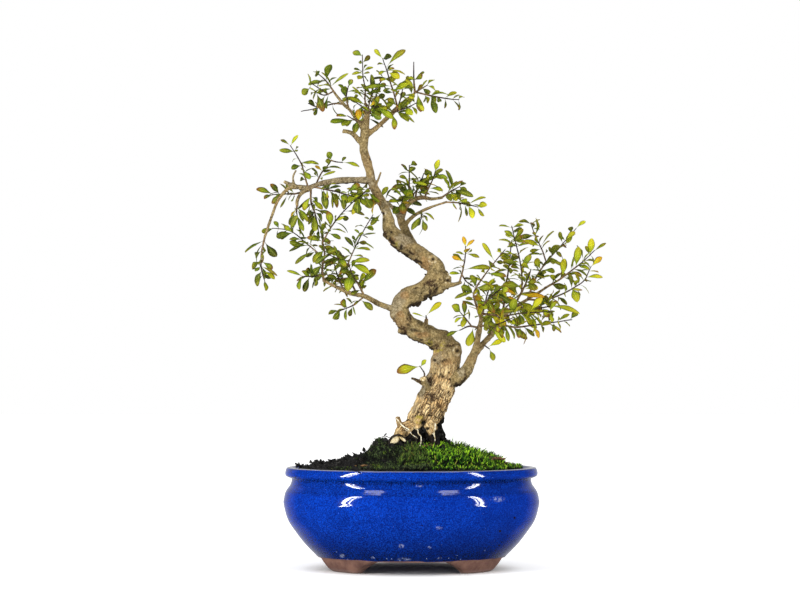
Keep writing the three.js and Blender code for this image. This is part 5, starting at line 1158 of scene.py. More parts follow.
# Each twig: radius at its foot, pairs of leaves, the share of its length where they start, its route, and single
# leaves, each with the share where it grows, the place that its tip reaches, and its width.
SPRAYS = {
    "crown_leader": [
        (1, 2, 0.05, [[-35, 1, 366], [-37.3, 0, 375], [-37, -1, 384], [-38.8, -2, 394], [-39.3, -2, 411.5]],
         [[0.1, -49, -6, 377, 4.2], [0.2, -47.5, -9, 383.5, 3.6], [0.63, -43, -8, 391, 5],
          [0.68, -47, -3, 397.5, 3.2], [0.66, -34.5, -6, 397, 3], [0.64, -35, 5, 391.5, 3.4],
          [0.85, -41.5, -4, 406, 3.6]]),
    ],
    "crown_left_tip": [
        (1, 3, 0.25, [[-61, -12, 379], [-68, -13, 388.5], [-73.7, -14, 393.5]], [[0.3, -50, -16, 394, 3]]),
        (0.8, 2, 0.35, [[-62, -12, 380.5], [-70, -15, 377], [-81, -18, 382.5]], [[0.75, -70, -23, 364.5, 6.5]]),
        (0.7, 0, 0, [[-67, -14, 378], [-73, -12, 382.5], [-81, -10, 388]], []),
    ],
    "crown_left_spur": [
        (0.9, 0, 0, [[-54, -9, 370.5], [-62, -5, 371.5], [-72, 0, 369.5], [-89, 5, 366.5]], []),
        (0.7, 0, 0, [[-68, -2, 370], [-76, -5, 369], [-82.5, -7, 371.5]], []),
    ],
    "crown_inner": [
        (0.9, 2, 0.4, [[-50, -6.5, 367], [-52, -10, 376], [-50, -12, 385]], [[0.9, -47.5, -14, 390, 4.6]]),
    ],
    "crown_basal_left": [
        (1.1, 1, 0.4, [[-38, 0, 357], [-45, -7, 358], [-51, -12, 361]],
         [[0.5, -64, -15, 354, 6.4], [0.6, -54.5, -16, 352.5, 7], [0.9, -58, -19, 360, 5.8],
          [0.3, -43, -12, 366, 6.6], [0.4, -45, -16, 349, 6]]),
    ],
    "crown_basal_right": [
        (1.1, 1, 0.5, [[-36, 1, 362], [-31, -5, 367.5], [-26, -10, 368.5]],
         [[0.8, -14.5, -16, 358, 6.6], [0.9, -19, -6, 365, 7], [0.5, -26, -13, 360.5, 6]]),
    ],
    "crown_back": [
        (1.1, 3, 0.3, [[-37, 1, 357], [-34, 10, 365], [-30, 19, 374], [-28, 26, 384]], []),
        (0.8, 1, 0.5, [[-32, 14, 369], [-40, 22, 373], [-48, 28, 379]], []),
    ],
    "crown_mid": [
        (1, 1, 0.3, [[-11, 8, 370], [-14, 5, 381], [-17.5, 2, 391.5], [-20, 0, 400], [-23.2, -1, 409]],
         [[0.8, -6.5, -3, 416.5, 5.6], [0.74, -5, 6, 400, 3.2], [0.7, -10.5, -6, 393.5, 6.4],
          [0.74, -26, -5, 396.5, 3], [0.42, -35, -7, 386.5, 4.4], [0.36, -21, -8, 384, 3.2], [0.2, -19, 0, 370.5, 6],
          [0.33, -3, 0, 388, 7]]),
    ],
    "crown_mid_side": [(0.9, 2, 0.5, [[-35.5, 1, 363], [-32.5, 6, 378.5], [-27, 10, 388], [-22, 13, 395]], [])],
    "crown_right_tip": [
        (1.4, 1, 0.5, [[-3, 10, 377.2], [5, 11, 384], [13.2, 12, 389]],
         [[0.5, 7.5, 4, 366, 6.2], [0.45, -5, 4, 392, 4.6]]),
        (1.1, 0, 0, [[3, 11, 382.5], [2.5, 9, 388], [2, 8, 396], [2, 7, 407]], []),
        (0.9, 2, 0.35, [[4, 11, 383], [17.5, 13, 380], [31, 15, 378], [39, 16, 377.5]], []),
    ],
    "crown_right_low": [
        (1, 3, 0.3, [[-18, 6, 363], [-12, 0, 366], [-4, -6, 368], [4, -12, 371]], [[0.15, -12, -4, 352, 5]]),
        (0.8, 1, 0.5, [[-12, 0, 366], [-9, -8, 374], [-7, -13, 382]], []),
    ],
    "left_up": [
        (1, 1, 0.45, [[-82, -14, 303], [-84.5, -16, 311], [-87, -18, 320.5], [-92, -20, 330], [-96, -22, 336]],
         [[0.5, -95.5, -20, 318, 5], [0.55, -76, -23, 322, 3.6], [0.57, -74, -14, 324, 3.4], [0.4, -81, -21, 309, 5],
          [0.98, -103, -23, 341, 3.4], [0.98, -91, -25, 343.5, 3], [0.85, -91, -26, 331, 4]]),
    ],
    "left_top": [
        (0.9, 1, 0.3, [[-76, -12, 306], [-72, -9, 315], [-67, -6, 321.5], [-64, -4, 326.5]],
         [[0.98, -66.5, -8, 332.5, 6], [0.62, -56, -1, 323, 3], [0.5, -77.5, -6, 321, 3.2]]),
        (0.7, 0, 0, [[-64.5, -4.3, 326], [-60, -2, 325], [-55, -1, 324.5]],
         [[0.95, -42, -2, 323.5, 4.4], [0.9, -53, 2, 330, 3]]),
    ],
    "left_tip": [
        (1, 1, 0.3, [[-83, -14, 301.5], [-92, -8, 299], [-101, -4, 299], [-112, -1, 298.5]],
         [[0.95, -124, -3, 304, 5.6], [0.8, -112, -7, 306.5, 5], [0.92, -119, 3, 296, 4]]),
    ],
    "left_droop_end": [
        (1.1, 5, 0.1, [[-115.5, -26.5, 264], [-118, -29, 250], [-118, -31, 238], [-115, -33, 227]], []),
    ],
    "left_under": [
        (1.1, 1, 0.4, [[-91, -10, 291], [-91.5, -11, 285.5], [-91, -12, 281]],
         [[0.3, -82, -14, 277, 4.8], [0.6, -98, -11, 274, 4.4], [0.9, -87, -16, 269, 4.4], [0.5, -98, -4, 279, 4]]),
    ],
    "left_hang": [
        (1, 4, 0.25, [[-80, -13, 303], [-80, -8, 292], [-77, -3, 283], [-75, 1, 273], [-74, 4, 265]],
         [[0.2, -71, -14, 286, 4.6], [0.45, -63.5, -6, 283.5, 3.6], [0.5, -78, -8, 269, 6]]),
    ],
    "left_inner": [
        (0.9, 3, 0.35, [[-78, -13, 304], [-71, -18, 302], [-60, -26, 299], [-48, -33, 295], [-40, -38, 292]],
         [[0.22, -67.5, -24, 286, 6], [0.6, -52, -34, 285, 4.6], [0.95, -43, -40, 281.5, 7]]),
    ],
    "trunk_left": [
        (1, 3, 0.3, [[-32, -3, 305], [-38, -12, 299], [-42, -20, 294]],
         [[0.3, -46, -10, 303, 6], [0.6, -33, -18, 286, 7.4], [0.8, -45, -22, 281, 5.6], [0.9, -36, -26, 288, 5]]),
    ],
    "trunk_bend_leaf": [
        (0.9, 0, 0, [[-18, -3, 283], [-22, -7, 283.5], [-24, -9, 284]], [[0.9, -31, -13, 273.5, 4.6]]),
    ],
    "low_left_outer": [
        (1.2, 5, 0.15, [[-69, -26, 228], [-70.5, -24, 238], [-68.7, -21, 250], [-70.5, -18, 260.5], [-71, -16, 268]],
         [[0.62, -78, -25, 243.5, 7], [0.35, -79, -28, 231, 6], [0.55, -59, -24, 254, 6.4],
          [0.8, -83, -18, 263, 4.6]]),
        (0.8, 3, 0.25, [[-70.5, -18.5, 259], [-63.6, -14, 272], [-55.5, -10, 283], [-47, -6, 292], [-41.5, -3, 299]],
         [[0.3, -66, -18, 284, 6], [0.18, -56, -16, 262, 4.4]]),
        (0.8, 3, 0.3, [[-69.5, -22, 247], [-82, -18, 257.5], [-96, -12, 268.7], [-111, -7, 271.5]],
         [[0.7, -92, -20, 278.5, 6.4], [0.45, -97, -18, 262, 4], [0.2, -92, -24, 242, 3.6]]),
        (0.8, 2, 0.4, [[-69.9, -25, 233], [-77, -29, 232], [-86, -32, 231.5]], [[0.95, -97, -36, 236, 3.6]]),
    ],
    "low_left_mid": [
        (1.2, 2, 0.12, [[-37, -16, 216], [-42, -20, 226], [-47, -23, 234], [-50, -25, 243]],
         [[0.25, -38, -25, 224, 7], [0.3, -28, -22, 237.5, 8], [0.7, -50, -33, 223, 8.4],
          [0.95, -33, -27, 237.5, 6.4], [0.97, -35, -32, 246, 5]]),
        (0.7, 2, 0.3, [[-50, -25, 242], [-45, -28, 253.5], [-36.5, -31, 270], [-30, -33, 280]], []),
        (0.8, 2, 0.35, [[-49.7, -24.7, 241], [-56, -28, 245], [-66, -33, 249]], [[0.5, -51, -35, 240, 5.4]]),
    ],
    "low_left_under": [
        (0.9, 1, 0.4, [[-38, -16.5, 216], [-46, -22, 209.5], [-57, -27, 204.5]],
         [[0.7, -56, -31, 212, 8.4], [0.15, -32, -24, 207, 5.4]]),
    ],
    "low_left_rise": [(1, 3, 0.3, [[-53, -21, 220], [-56.5, -16, 228], [-59.5, -11, 235], [-61.5, -6, 243]], [])],
    "low_left_back": [
        (1.1, 4, 0.2, [[-43, -18, 217.5], [-47, -6, 226], [-52, 6, 236], [-58, 18, 246], [-62, 28, 255]], []),
        (0.8, 1, 0.5, [[-50, 2, 232], [-60, 6, 232], [-70, 8, 236]], []),
    ],
    "mid_stub_leaves": [
        (1, 2, 0.4, [[-18.5, 25.5, 294], [-24, 27, 298.5], [-29, 28, 300]], [[0.6, -20, 24, 308, 4.6]]),
    ],
    "mid_rod": [
        (1, 1, 0.35, [[0, 25.6, 295.5], [-1.5, 23, 304], [-1.5, 22, 312], [-1.5, 21, 325]],
         [[0.48, -15, 15, 307, 5.4], [0.5, 11, 17, 312, 4], [0.36, -2.5, 12, 300, 9.4]]),
    ],
    "mid_rise_a": [(1, 3, 0.3, [[3, 26.5, 297], [5, 32, 306], [8.5, 36, 314], [10.5, 38, 320]], [])],
    "mid_rise_b": [
        (1, 3, 0.35, [[11, 28.5, 299], [14.5, 25, 307], [18, 23, 314.5], [20, 22, 321]],
         [[0.95, 21.5, 18, 328, 4.6], [0.8, 29, 20, 316, 4]]),
    ],
    "mid_tip": [(1.1, 3, 0.3, [[25, 31.8, 299.3], [33, 35, 305], [40, 38, 309]], [[0.4, 38, 30, 297, 4.6]])],
    "mid_low_tip": [(0.9, 3, 0.35, [[28, 9.2, 293.6], [37, 7, 293], [46, 5, 291], [54, 3, 289]], [])],
    "mid_low_drop": [
        (0.9, 1, 0.5, [[8, 14.3, 286.3], [8.5, 9, 283], [7.5, 5, 279]],
         [[0.5, 2, 2, 272.5, 5.4], [0.8, 12, 2, 271, 5]]),
    ],
    "mid_front": [
        (1.1, 3, 0.3, [[-9, 21, 284], [-8, 12, 291], [-7, 4, 297]], [[0.5, -15, 6, 285, 6.6], [0.8, -7, -2, 286, 7]]),
    ],
    "mid_back": [
        (1.1, 3, 0.25, [[-5, 23.5, 289], [-1, 34, 298], [5, 43, 307], [10, 50, 314]], []),
        (0.8, 1, 0.5, [[2, 38, 302], [-6, 46, 306], [-13, 52, 311]], []),
    ],
    "knot_rise": [
        (1, 2, 0.1, [[38, -7.8, 227.5], [40.5, -9, 236], [42, -10, 243], [43, -11, 251], [43, -12, 257]],
         [[0.35, 61, -16, 241, 5], [0.98, 41.5, -14, 264, 3.6], [0.95, 50, -11, 262, 3], [0.8, 54, -14, 247.5, 3.6],
          [0.75, 35, -16, 252, 3], [0.25, 30, -13, 235, 3.4]]),
        (0.8, 2, 0.4, [[40.3, -8.9, 234], [44, -3, 229], [50, 2, 225]], []),
    ],
    "right_inner": [
        (1.4, 4, 0.12, [[55.3, -13, 198.5], [51, -15, 211], [50, -17, 221], [61.5, -22, 238], [74, -26, 253.5]],
         [[0.35, 35, -20, 216.5, 4], [0.8, 55, -27, 257, 4.8], [0.62, 75, -22, 232, 5.4], [0.25, 60, -24, 208, 8],
          [0.04, 53.5, -25, 210, 8.6]]),
        (1.2, 4, 0.15, [[54.1, -13.6, 203], [64, -18, 202], [73, -22, 201], [88, -28, 203], [110, -36, 204]],
         [[0.32, 71.5, -29, 192.5, 6.4], [0.18, 58, -25, 192, 7], [0.45, 81, -32, 213, 7]]),
        (1.1, 4, 0.25, [[53.6, -13.8, 204], [58, -24, 211], [64, -34, 217], [71, -43, 223]], []),
    ],
    "right_inner_low": [
        (1.1, 1, 0.4, [[54, -11, 191.5], [46, -15, 193], [38, -19, 189.5]],
         [[0.95, 27.5, -21, 185.5, 4.6], [0.3, 46.5, -19, 176.5, 7.4]]),
        (0.9, 1, 0.5, [[48, -14, 192.5], [42, -18, 200], [38.5, -20, 204]],
         [[0.95, 33.5, -24, 209, 8], [0.6, 41, -25, 193, 5]]),
    ],
    "right_fork_leaves": [
        (0.8, 0, 0, [[57, -4.8, 179], [60, -8, 176.5], [62, -10, 175]],
         [[0.95, 66, -14, 166, 5], [0.7, 71, -12, 182, 5]]),
    ],
    "right_lower": [
        (1, 2, 0.2, [[70, 1, 195], [83, -3, 192.5], [97, -5, 194], [112, -7, 196], [128, -8, 198.5]],
         [[0.1, 77, -6, 182, 3.6], [0.3, 86, -8, 185, 5.4], [0.75, 113.5, -10, 190, 3.2], [0.8, 124, -12, 203, 3.6]]),
    ],
    "right_centre": [
        (1.2, 3, 0.3, [[82, 8.5, 208.5], [88, 3, 220], [93, -3, 231], [95.5, -6, 239]],
         [[0.5, 76, -6, 229, 8], [0.7, 99, -14, 222, 7.4], [0.33, 104, -14, 215.5, 5.6], [0.28, 75, -10, 222.5, 5.6],
          [0.18, 98.5, -8, 205, 7]]),
        (0.8, 3, 0.4, [[88.5, 2.5, 221], [89, 8, 233], [87.5, 12, 247.5], [83.5, 16, 265], [81.5, 18, 275]],
         [[0.75, 92, 10, 262, 3.8]]),
    ],
    "right_centre_back": [
        (1.1, 4, 0.2, [[73, 4, 201.5], [75, 12, 214], [76.5, 17, 226], [79, 21, 240], [81, 25, 256], [82, 27, 264]],
         []),
    ],
    "right_high": [
        (1.2, 5, 0.2, [[94, 12.7, 215.5], [98, 20, 226], [103, 26, 236], [111, 32, 247], [120, 37, 257],
          [136, 44, 275]], [[0.97, 128, 40, 264, 5], [0.99, 143, 46, 282, 3.4]]),
        (0.8, 3, 0.4, [[110.5, 31.7, 246], [107, 34, 257], [102, 36, 268], [98, 37, 279]], []),
    ],
    "right_tip": [
        (1.2, 5, 0.12, [[108, 15.5, 224.5], [120, 18, 231.5], [130, 19, 239], [140, 20, 247], [149, 21, 255.5]],
         [[0.6, 135, 13, 258, 6.4], [0.95, 158, 20, 261.5, 3.2], [0.9, 146, 15, 265, 6]]),
    ],
    "right_front_tip": [
        (1.1, 3, 0.35, [[94, 12.5, 215.3], [105, 4, 214.5], [117, -2, 217.5], [129, -6, 223.5], [138, -8, 230],
          [143, -10, 241]], [[0.62, 133, -13, 213, 7.4], [0.98, 151, -12, 248, 5.6], [0.85, 152, -8, 234, 4]]),
    ],
    "right_front_mid": [
        (1.1, 3, 0.25, [[84, 9, 209.5], [94, 0, 207.5], [104, -7, 208], [113, -13, 209.5]],
         [[0.9, 133, -16, 207, 5], [0.7, 109, -16, 202, 6]]),
    ],
    "right_back_low": [
        (1.2, 4, 0.2, [[66, -1.4, 190], [70, 12, 199], [76, 24, 208], [84, 35, 216], [92, 44, 223]], []),
        (0.8, 1, 0.5, [[76, 24, 208], [87, 28, 207], [98, 32, 210]], []),
    ],
    "right_back_inner": [
        (1.2, 4, 0.25, [[53, -9, 187], [56, 2, 198], [59, 14, 209], [62, 26, 220], [66, 37, 230]], []),
    ],
    "right_front_low": [(1, 4, 0.3, [[54.5, -10.7, 193.5], [62, -24, 193], [70, -35, 195], [79, -44, 199]], [])],
    "low_stub_leaf": [
        (1.1, 0, 0, [[10, -9, 151], [10.2, -11, 156], [6.5, -12.5, 161.5]],
         [[0.95, -11.6, -16, 156.6, 9.2], [0.9, 11, -15, 166.5, 4.0]]),
    ],
    "mid_peg_leaf": [
        (1, 0, 0, [[12, -11.2, 198], [11.4, -12.5, 201.6]],
         [[0.85, 22.5, -17, 211.2, 5.6], [0.5, 1, -14, 203.5, 1.8]]),
    ],
}
TWIG_TIP_RADIUS = 0.55
LAST_PAIR = 0.97  # the share of a twig where its last pair of leaves grows
LEAF_LENGTH = 15
LEAF_WIDTH = 5.8
PAIR_ROOM, TUFT_ROOM = 3.6, 1.5  # how far a leaf of a pair and a leaf of a tuft stay from all others
PAIR_TRIES, TUFT_TRIES, TUFT_LEAVES = 5, 3, 5
JOINT_GAP = 7.5
SHORT_TWIG = 13.5  # a twig without pairs that is no longer than this bears no tufts
STEM_STEP = 2
YELLOW_REACH, BRONZE_REACH = 5, 6
SAMPLE_SHARES = np.repeat([0.28, 0.44, 0.6, 0.76, 0.93], 2)
SAMPLE_SIDES = np.tile([-0.3, 0.3], 5)
BLADE_SHARES = np.array([0.0, 0.08, 0.2, 0.34, 0.48, 0.62, 0.76, 0.88, 0.96, 1.0])
BLADE_SECTION = np.array([[-1, 0.05], [-0.5, 0.11], [0, 0.0], [0.5, 0.11], [1, 0.05], [0, -0.42]])
RIPENING = [  # from fresh green to yellow
    (0.0, "34520a"), (0.25, "5c700c"), (0.5, "8f980e"), (0.72, "b2ad0e"), (0.86, "bcac0c"), (1.0, "bb890d"),
]
YELLOW_LEAVES = np.array([  # place across, height and ripeness
    [17.7, 207.1, 0.72], [-38.3, 360.7, 1], [42.9, 258.3, 1], [40.5, 244.7, 1], [54.1, 203.9, 0.84],
    [146.9, 241.5, 0.9], [81, 219.5, 1], [97, 217, 1], [72.5, 198, 0.85], [-41.9, 392.7, 0.6],
    [-15.5, 395.9, 0.7], [-3, 159.1, 0.64], [-7.5, 398, 0.7], [48.5, 183, 0.6], [92, 209, 0.6], [133, 219, 0.6],
])
BRONZE_LEAVES = np.array([
    [-15.5, 354.3], [86, 186], [-58, 212], [88, 262], [139, 210], [126, 224], [-70, 365], [105.5, 265.5], [127, 262],
])


def chance(key):
    """A repeatable chance value from 0 to 1: what is left of a large multiple of a sine after its whole part."""
    value = np.sin(key * 12.9898 + 4.1414) * 43758.5453
    return value - np.floor(value)


def on_route(route, share):
    """The place at a share of a broken line's length, and the step from there to the smooth line through the same
    corners."""
    corners = np.asarray(route, float)
    lengths, order, smooth = reached(corners), np.arange(len(corners)), through(corners, 12)
    corner = np.interp(clipped(share) * lengths[-1], lengths, order)
    straight = np.array([np.interp(corner, order, values) for values in corners.T])
    order = np.linspace(0, len(corners) - 1, len(smooth))
    return straight, np.array([np.interp(corner, order, values) for values in smooth.T]) - straight


def unit(vector):
    return vector / np.linalg.norm(vector)


def leaf_row(base, direction, up, length, width, arch, shift):
    """A leaf as one row: its root, direction, upper side and side, length, width, arch, and its step to the twig."""
    along = unit(direction)
    normal = unit(up - along * (up @ along))
    return np.concatenate([base, along, normal, np.cross(along, normal), [length, width, arch], shift])


def leaf_points(leaves, share, off, above):
    """Places on leaves, at shares of their length, off to a side and above the middle, all in millimetres. A leaf
    runs along its direction, falls away by its arch times the square of the share, and lifts to both sides."""
    base, along, normal, side = (leaves[:, None, k : k + 3] for k in (0, 3, 6, 9))
    length, arch = leaves[:, None, 12:13], leaves[:, None, 14:15]
    size = len(leaves), np.shape(share)[-1]
    share, off, above = (np.broadcast_to(value, size)[..., None] for value in (share, off, above))
    forward = length * share * (1 - 0.35 * arch * share)
    lift = above - length * arch * share**2 + 0.25 * np.abs(off)
    return base + along * forward + normal * lift + side * off


def sampled(leaf):
    return leaf_points(leaf[None], SAMPLE_SHARES, SAMPLE_SIDES * leaf[13], 0.0)[0]


def rooted(twig, share, direction):
    """A leaf's root: inside the twig, off its middle towards the leaf by 0.28 of the radius."""
    place, shift = on_route(twig[3], share)
    radius = twig[0] + (TWIG_TIP_RADIUS - twig[0]) * share
    return place + unit(direction) * 0.28 * radius, shift


def reaching_leaf(twig, share, x, y, z, width):
    """A single leaf that reaches for a given tip, with its upper side forwards and upwards."""
    tip = np.array([x, y, z], float)
    base, shift = rooted(twig, share, tip - on_route(twig[3], share)[0])
    reach, facing, arch = tip - base, np.array([0, -0.8, 0.55]), 0.16
    length = np.linalg.norm(reach) * 1.04
    face = unit(facing - reach * (facing @ reach) / (reach @ reach))
    return leaf_row(base, reach + face * arch * length, face, length, width, arch, shift)


def paired_leaf(twig, share, turn, seed, attempt, size):
    """A leaf of a pair: it opens from the twig by about 58 degrees, at a turn round it, with chance changes of its
    turn, opening, length, width, roll and arch. Leaves near the twig's end are shorter."""
    tangent = unit(on_route(twig[3], min(share + 1e-4, 1))[0] - on_route(twig[3], max(share - 1e-4, 0))[0])
    level = np.array([tangent[1], -tangent[0], 0])
    level = unit(level if np.linalg.norm(level) >= 0.25 else np.array([1, 0, 0]) - tangent * tangent[0])
    upward = unit(np.cross(level, tangent))
    angle = np.radians(turn + (chance(seed) - 0.5) * 50 + attempt * 37 + 35)
    opening = np.radians(58 + (chance(seed + 0.3) - 0.5) * 30 - attempt * 4)
    outward = level * np.cos(angle) + upward * np.sin(angle)
    direction = unit(tangent * np.cos(opening) + outward * np.sin(opening))
    shorter = 1 - 0.3 * max(0, share - 0.6) * 2.5
    length = LEAF_LENGTH * (0.78 + 0.5 * chance(seed + 0.6)) * shorter * size
    width = LEAF_WIDTH * (0.8 + 0.4 * chance(seed + 0.9)) * (0.6 + 0.4 * shorter) * size**0.8
    roll = np.radians((chance(seed + 0.2) - 0.5) * 200)
    up = np.array([0, 0, 1]) * np.cos(roll) + np.cross(direction, [0, 0, 1]) * np.sin(roll)
    up = up + direction * direction[2] * (1 - np.cos(roll))
    base, shift = rooted(twig, share, direction)
    return leaf_row(base, direction, up, length, width, 0.1 + 0.16 * chance(seed + 0.5), shift)


def stem_places():
    """Places along every stem, a step apart, with the wood's radius and the number of the twig, or -1 for a limb."""
    found = []
    stretches = [(TRUNK[k : k + 2], TRUNK[k][3], TRUNK[k + 1][3], -1) for k in range(len(TRUNK) - 1)]
    stretches += [(route, foot_radius, tip, -1) for foot_radius, tip, route in LIMBS.values()]
    twigs = [twig for group in SPRAYS.values() for twig in group]
    stretches += [(twig[3], twig[0], TWIG_TIP_RADIUS, number) for number, twig in enumerate(twigs)]
    for route, first, last, number in stretches:
        corners = np.array([place[:3] for place in route], float)
        for share in np.linspace(0, 1, int(np.ceil(reached(corners)[-1] / STEM_STEP)) + 1):
            found.append([*on_route(corners, share)[0], first + (last - first) * share, number])
    return np.array(found)


def roomy_leaf(places, stems, number, candidates, clearance):
    """The first of the candidate leaves whose sampled places stay clear of all other leaves and stems, or none."""
    for leaf in candidates:
        own = sampled(leaf)
        taken = np.concatenate(places)
        near_stem = np.linalg.norm(own[:, None] - stems[None, :, :3], axis=2).min(0)
        if (near_stem < stems[:, 3] + np.where(stems[:, 4] == number, 1, 2)).any():
            continue
        if np.linalg.norm(own[:, None] - taken[None], axis=2).min() >= clearance:
            return leaf
    return None


def grown_leaves():
    """All leaves, by spray: the single ones, then the pairs wherever they find room, and then small tufts of leaves
    at the joints between them, every other one narrow and curled down."""
    stems, places = stem_places(), []
    leaves = {name: [] for name in SPRAYS}
    twigs = [(name, twig) for name, group in SPRAYS.items() for twig in group]

    def keep(name, leaf):
        leaves[name].append(leaf)
        places.append(sampled(leaf))

    for name, twig in twigs:
        for single in twig[4]:
            keep(name, reaching_leaf(twig, *single))
    seed = 1
    for number, (name, twig) in enumerate(twigs):
        pairs, first = twig[1], twig[2]
        for pair in range(pairs):
            share = first + (LAST_PAIR - first) * (pair / (pairs - 1) if pairs > 1 else 1)
            for half in (0, 1):
                seed += 1
                tries = (paired_leaf(twig, share, pair * 90 + half * 180, seed, k, 1.0) for k in range(PAIR_TRIES))
                leaf = roomy_leaf(places, stems, number, tries, PAIR_ROOM)
                if leaf is not None:
                    keep(name, leaf)
    for number, (name, twig) in enumerate(twigs):
        length = reached(np.array(twig[3], float))[-1]
        joints = max(1, round(length / JOINT_GAP))
        if twig[1] == 0 and not twig[4]:
            joints = max(1, joints // 2)
        for joint in range(joints):
            share = 0.12 + 0.86 * (joint + 0.5 * chance(700 + joint)) / joints
            for member in range(TUFT_LEAVES):
                seed += 1
                size = 0.38 + 0.42 * chance(seed + 0.7)
                turn = member * 97 + joint * 71
                tries = (paired_leaf(twig, share, turn, seed, k, size) for k in range(TUFT_TRIES))
                leaf = roomy_leaf(places, stems, number, tries, TUFT_ROOM)
                if leaf is not None and inside_box(leaf) and (length > SHORT_TWIG or twig[1]):
                    if member % 2:
                        leaf[12:15] = leaf[12] * 1.15, leaf[13] * 0.5, leaf[14] + 0.3
                    keep(name, leaf)
    return {name: np.array(rows) for name, rows in leaves.items()}


def inside_box(leaf):
    """Whether a leaf stays within the whole tree's room."""
    own = (sampled(leaf) + leaf[15:] + POT_CENTRE) * 0.001
    return bool((own > np.array(cad_bounds[0]) + 0.001).all() and (own < np.array(cad_bounds[1]) - 0.001).all())


def blades(leaves):
    """Leaf blades as closed tubes: each cross section has a top that dips at the rib and a keel below. The half
    width is that of a sine of a share that is stretched so that the blade is widest past its middle, raised to a
    power that falls from 1 at the stalk to a half at the rounded tip. The margin waves a little, and the blade
    twists, bends to a side and droops more towards its tip."""
    count = len(leaves)
    key = leaves[:, 0] * 3.1 + leaves[:, 1] * 1.7 + leaves[:, 2] * 0.9
    widest = 0.58 + 0.16 * chance(key)
    power = np.log(0.5) / np.log(widest)
    share = clipped((BLADE_SHARES[None] - 0.05) / 0.95)
    fullness = clipped(np.sin(np.pi * share ** power[:, None])) ** (1.0 - 0.5 * share)
    half = leaves[:, 13:14] / 2 * fullness + 0.28 * clipped(1 - BLADE_SHARES / 0.12)
    half = np.maximum(half, 0.06)[..., None]
    u, lift = BLADE_SECTION[:, 0], BLADE_SECTION[:, 1]
    wave = 0.09 * np.sin(BLADE_SHARES[None] * 13 + key[:, None] * 5)[..., None]
    off = half * u
    above = lift * np.clip(half / 0.6, 0.3, 1) + half * wave * u
    twist = (chance(key + 0.4)[:, None, None] - 0.5) * 0.9 * BLADE_SHARES[None, :, None] ** 2
    off, above = off * np.cos(twist) - above * np.sin(twist), off * np.sin(twist) + above * np.cos(twist)
    shares = np.broadcast_to(BLADE_SHARES[None, :, None], off.shape)
    flat = leaf_points(leaves, shares.reshape(count, -1), off.reshape(count, -1), above.reshape(count, -1))
    rings = flat.reshape(count, len(BLADE_SHARES), len(u), 3) + leaves[:, None, None, 15:18]
    bend = (chance(key + 0.8) - 0.5)[:, None, None, None] * leaves[:, None, None, 12:13] * 0.22
    droop = (0.3 * chance(key + 5.5) ** 2)[:, None, None, None] * leaves[:, None, None, 12:13]
    rings = rings + (leaves[:, None, None, 9:12] * bend - leaves[:, None, None, 6:9] * droop) * shares[..., None] ** 2
    middle = rings[:, 5].mean(1)
    far, from_bronze = (np.hypot(middle[:, None, 0] - spots[:, 0], middle[:, None, 2] - spots[:, 1])
                        for spots in (YELLOW_LEAVES, BRONZE_LEAVES))
    yellow = (far.min(1) < YELLOW_REACH) & (middle[:, 1] < 12)
    right = clipped((middle[:, 0] + 20) / 80)
    ripe = np.clip(0.1 + 0.44 * chance(key + 1.3) + 0.18 * right, 0, 0.66)
    ripe = np.where(yellow, YELLOW_LEAVES[far.argmin(1), 2], np.where(chance(key + 2.1) > 0.972, 1.0, ripe))
    narrow = leaves[:, 13] < 0.26 * leaves[:, 12]
    # Painted shade: leaves darker by chance, the narrow curled ones most, and a little less on the right.
    painted_shade = chance(key + 4.2) * np.where(narrow, 0.45, 0.86 + 0.14 * right) + 0.1 * right
    painted_shade = np.where(yellow, 0.67 * ripe, painted_shade)
    bronzed = (from_bronze.min(1) < BRONZE_REACH) | (chance(key + 3.7) > 0.9)
    bronze = np.where(bronzed, 0.9, 0.55 * chance(key + 2.9) ** 2)
    tints = np.broadcast_to(np.stack([ripe, painted_shade, bronze], -1)[:, None, None], rings.shape)
    # Marks the underside, where the leaf's material paints shade.
    below = np.broadcast_to((lift < 0).astype(float), shares.shape)
    place = np.stack([np.broadcast_to(0.5 + 0.5 * u, shares.shape), shares, below], -1)
    return rings, tints, place


def twig_rings(twig):
    """A twig's rings: smooth through its corners, thinner than the model's to its tip, and swollen at its joints."""
    line = through(twig[3], 6)
    share = np.linspace(0, 1, len(line))
    radius = twig[0] * 0.86 + (0.36 - twig[0] * 0.86) * share
    joints = 0.16 * np.cos(share * len(line) * 1.7) ** 8
    line = line + 0.25 * wandering(line, 5, 30) * share[:, None]
    return tube(line, radius * (1 + joints), 6)


def spray_mesh(name, twigs, leaves):
    """A spray's twigs and leaves in one mesh, and for each face 1 if it is a leaf's, to pick the second finish."""
    solids, growth, places = [], [], []
    for twig in twigs:
        rings = twig_rings(twig)
        young = np.linspace(0, 1, len(rings)) * np.clip(1.6 - twig[0], 0.3, 1)
        solids.append(rings[None])
        growth.append(np.repeat(np.column_stack([young, young, young]), 6, axis=0))
        places.append(np.zeros((len(rings) * 6, 3)))
    if len(leaves):
        rings, tints, place = blades(leaves)
        solids.append(rings)
        growth.append(tints.reshape(-1, 3))
        places.append(place.reshape(-1, 3))
    mesh = joined(name, solids)
    store(mesh, "growth", np.concatenate(growth))
    store(mesh, "blade_place", np.concatenate(places))
    twig_points = sum(rings.shape[1] * 6 for rings in solids[: len(twigs)])
    first_corner = np.empty(len(mesh.polygons), np.int32)
    mesh.polygons.foreach_get("loop_start", first_corner)
    corner_point = np.empty(len(mesh.loops), np.int32)
    mesh.loops.foreach_get("vertex_index", corner_point)
    return mesh, (corner_point[first_corner] >= twig_points).astype(np.int32)


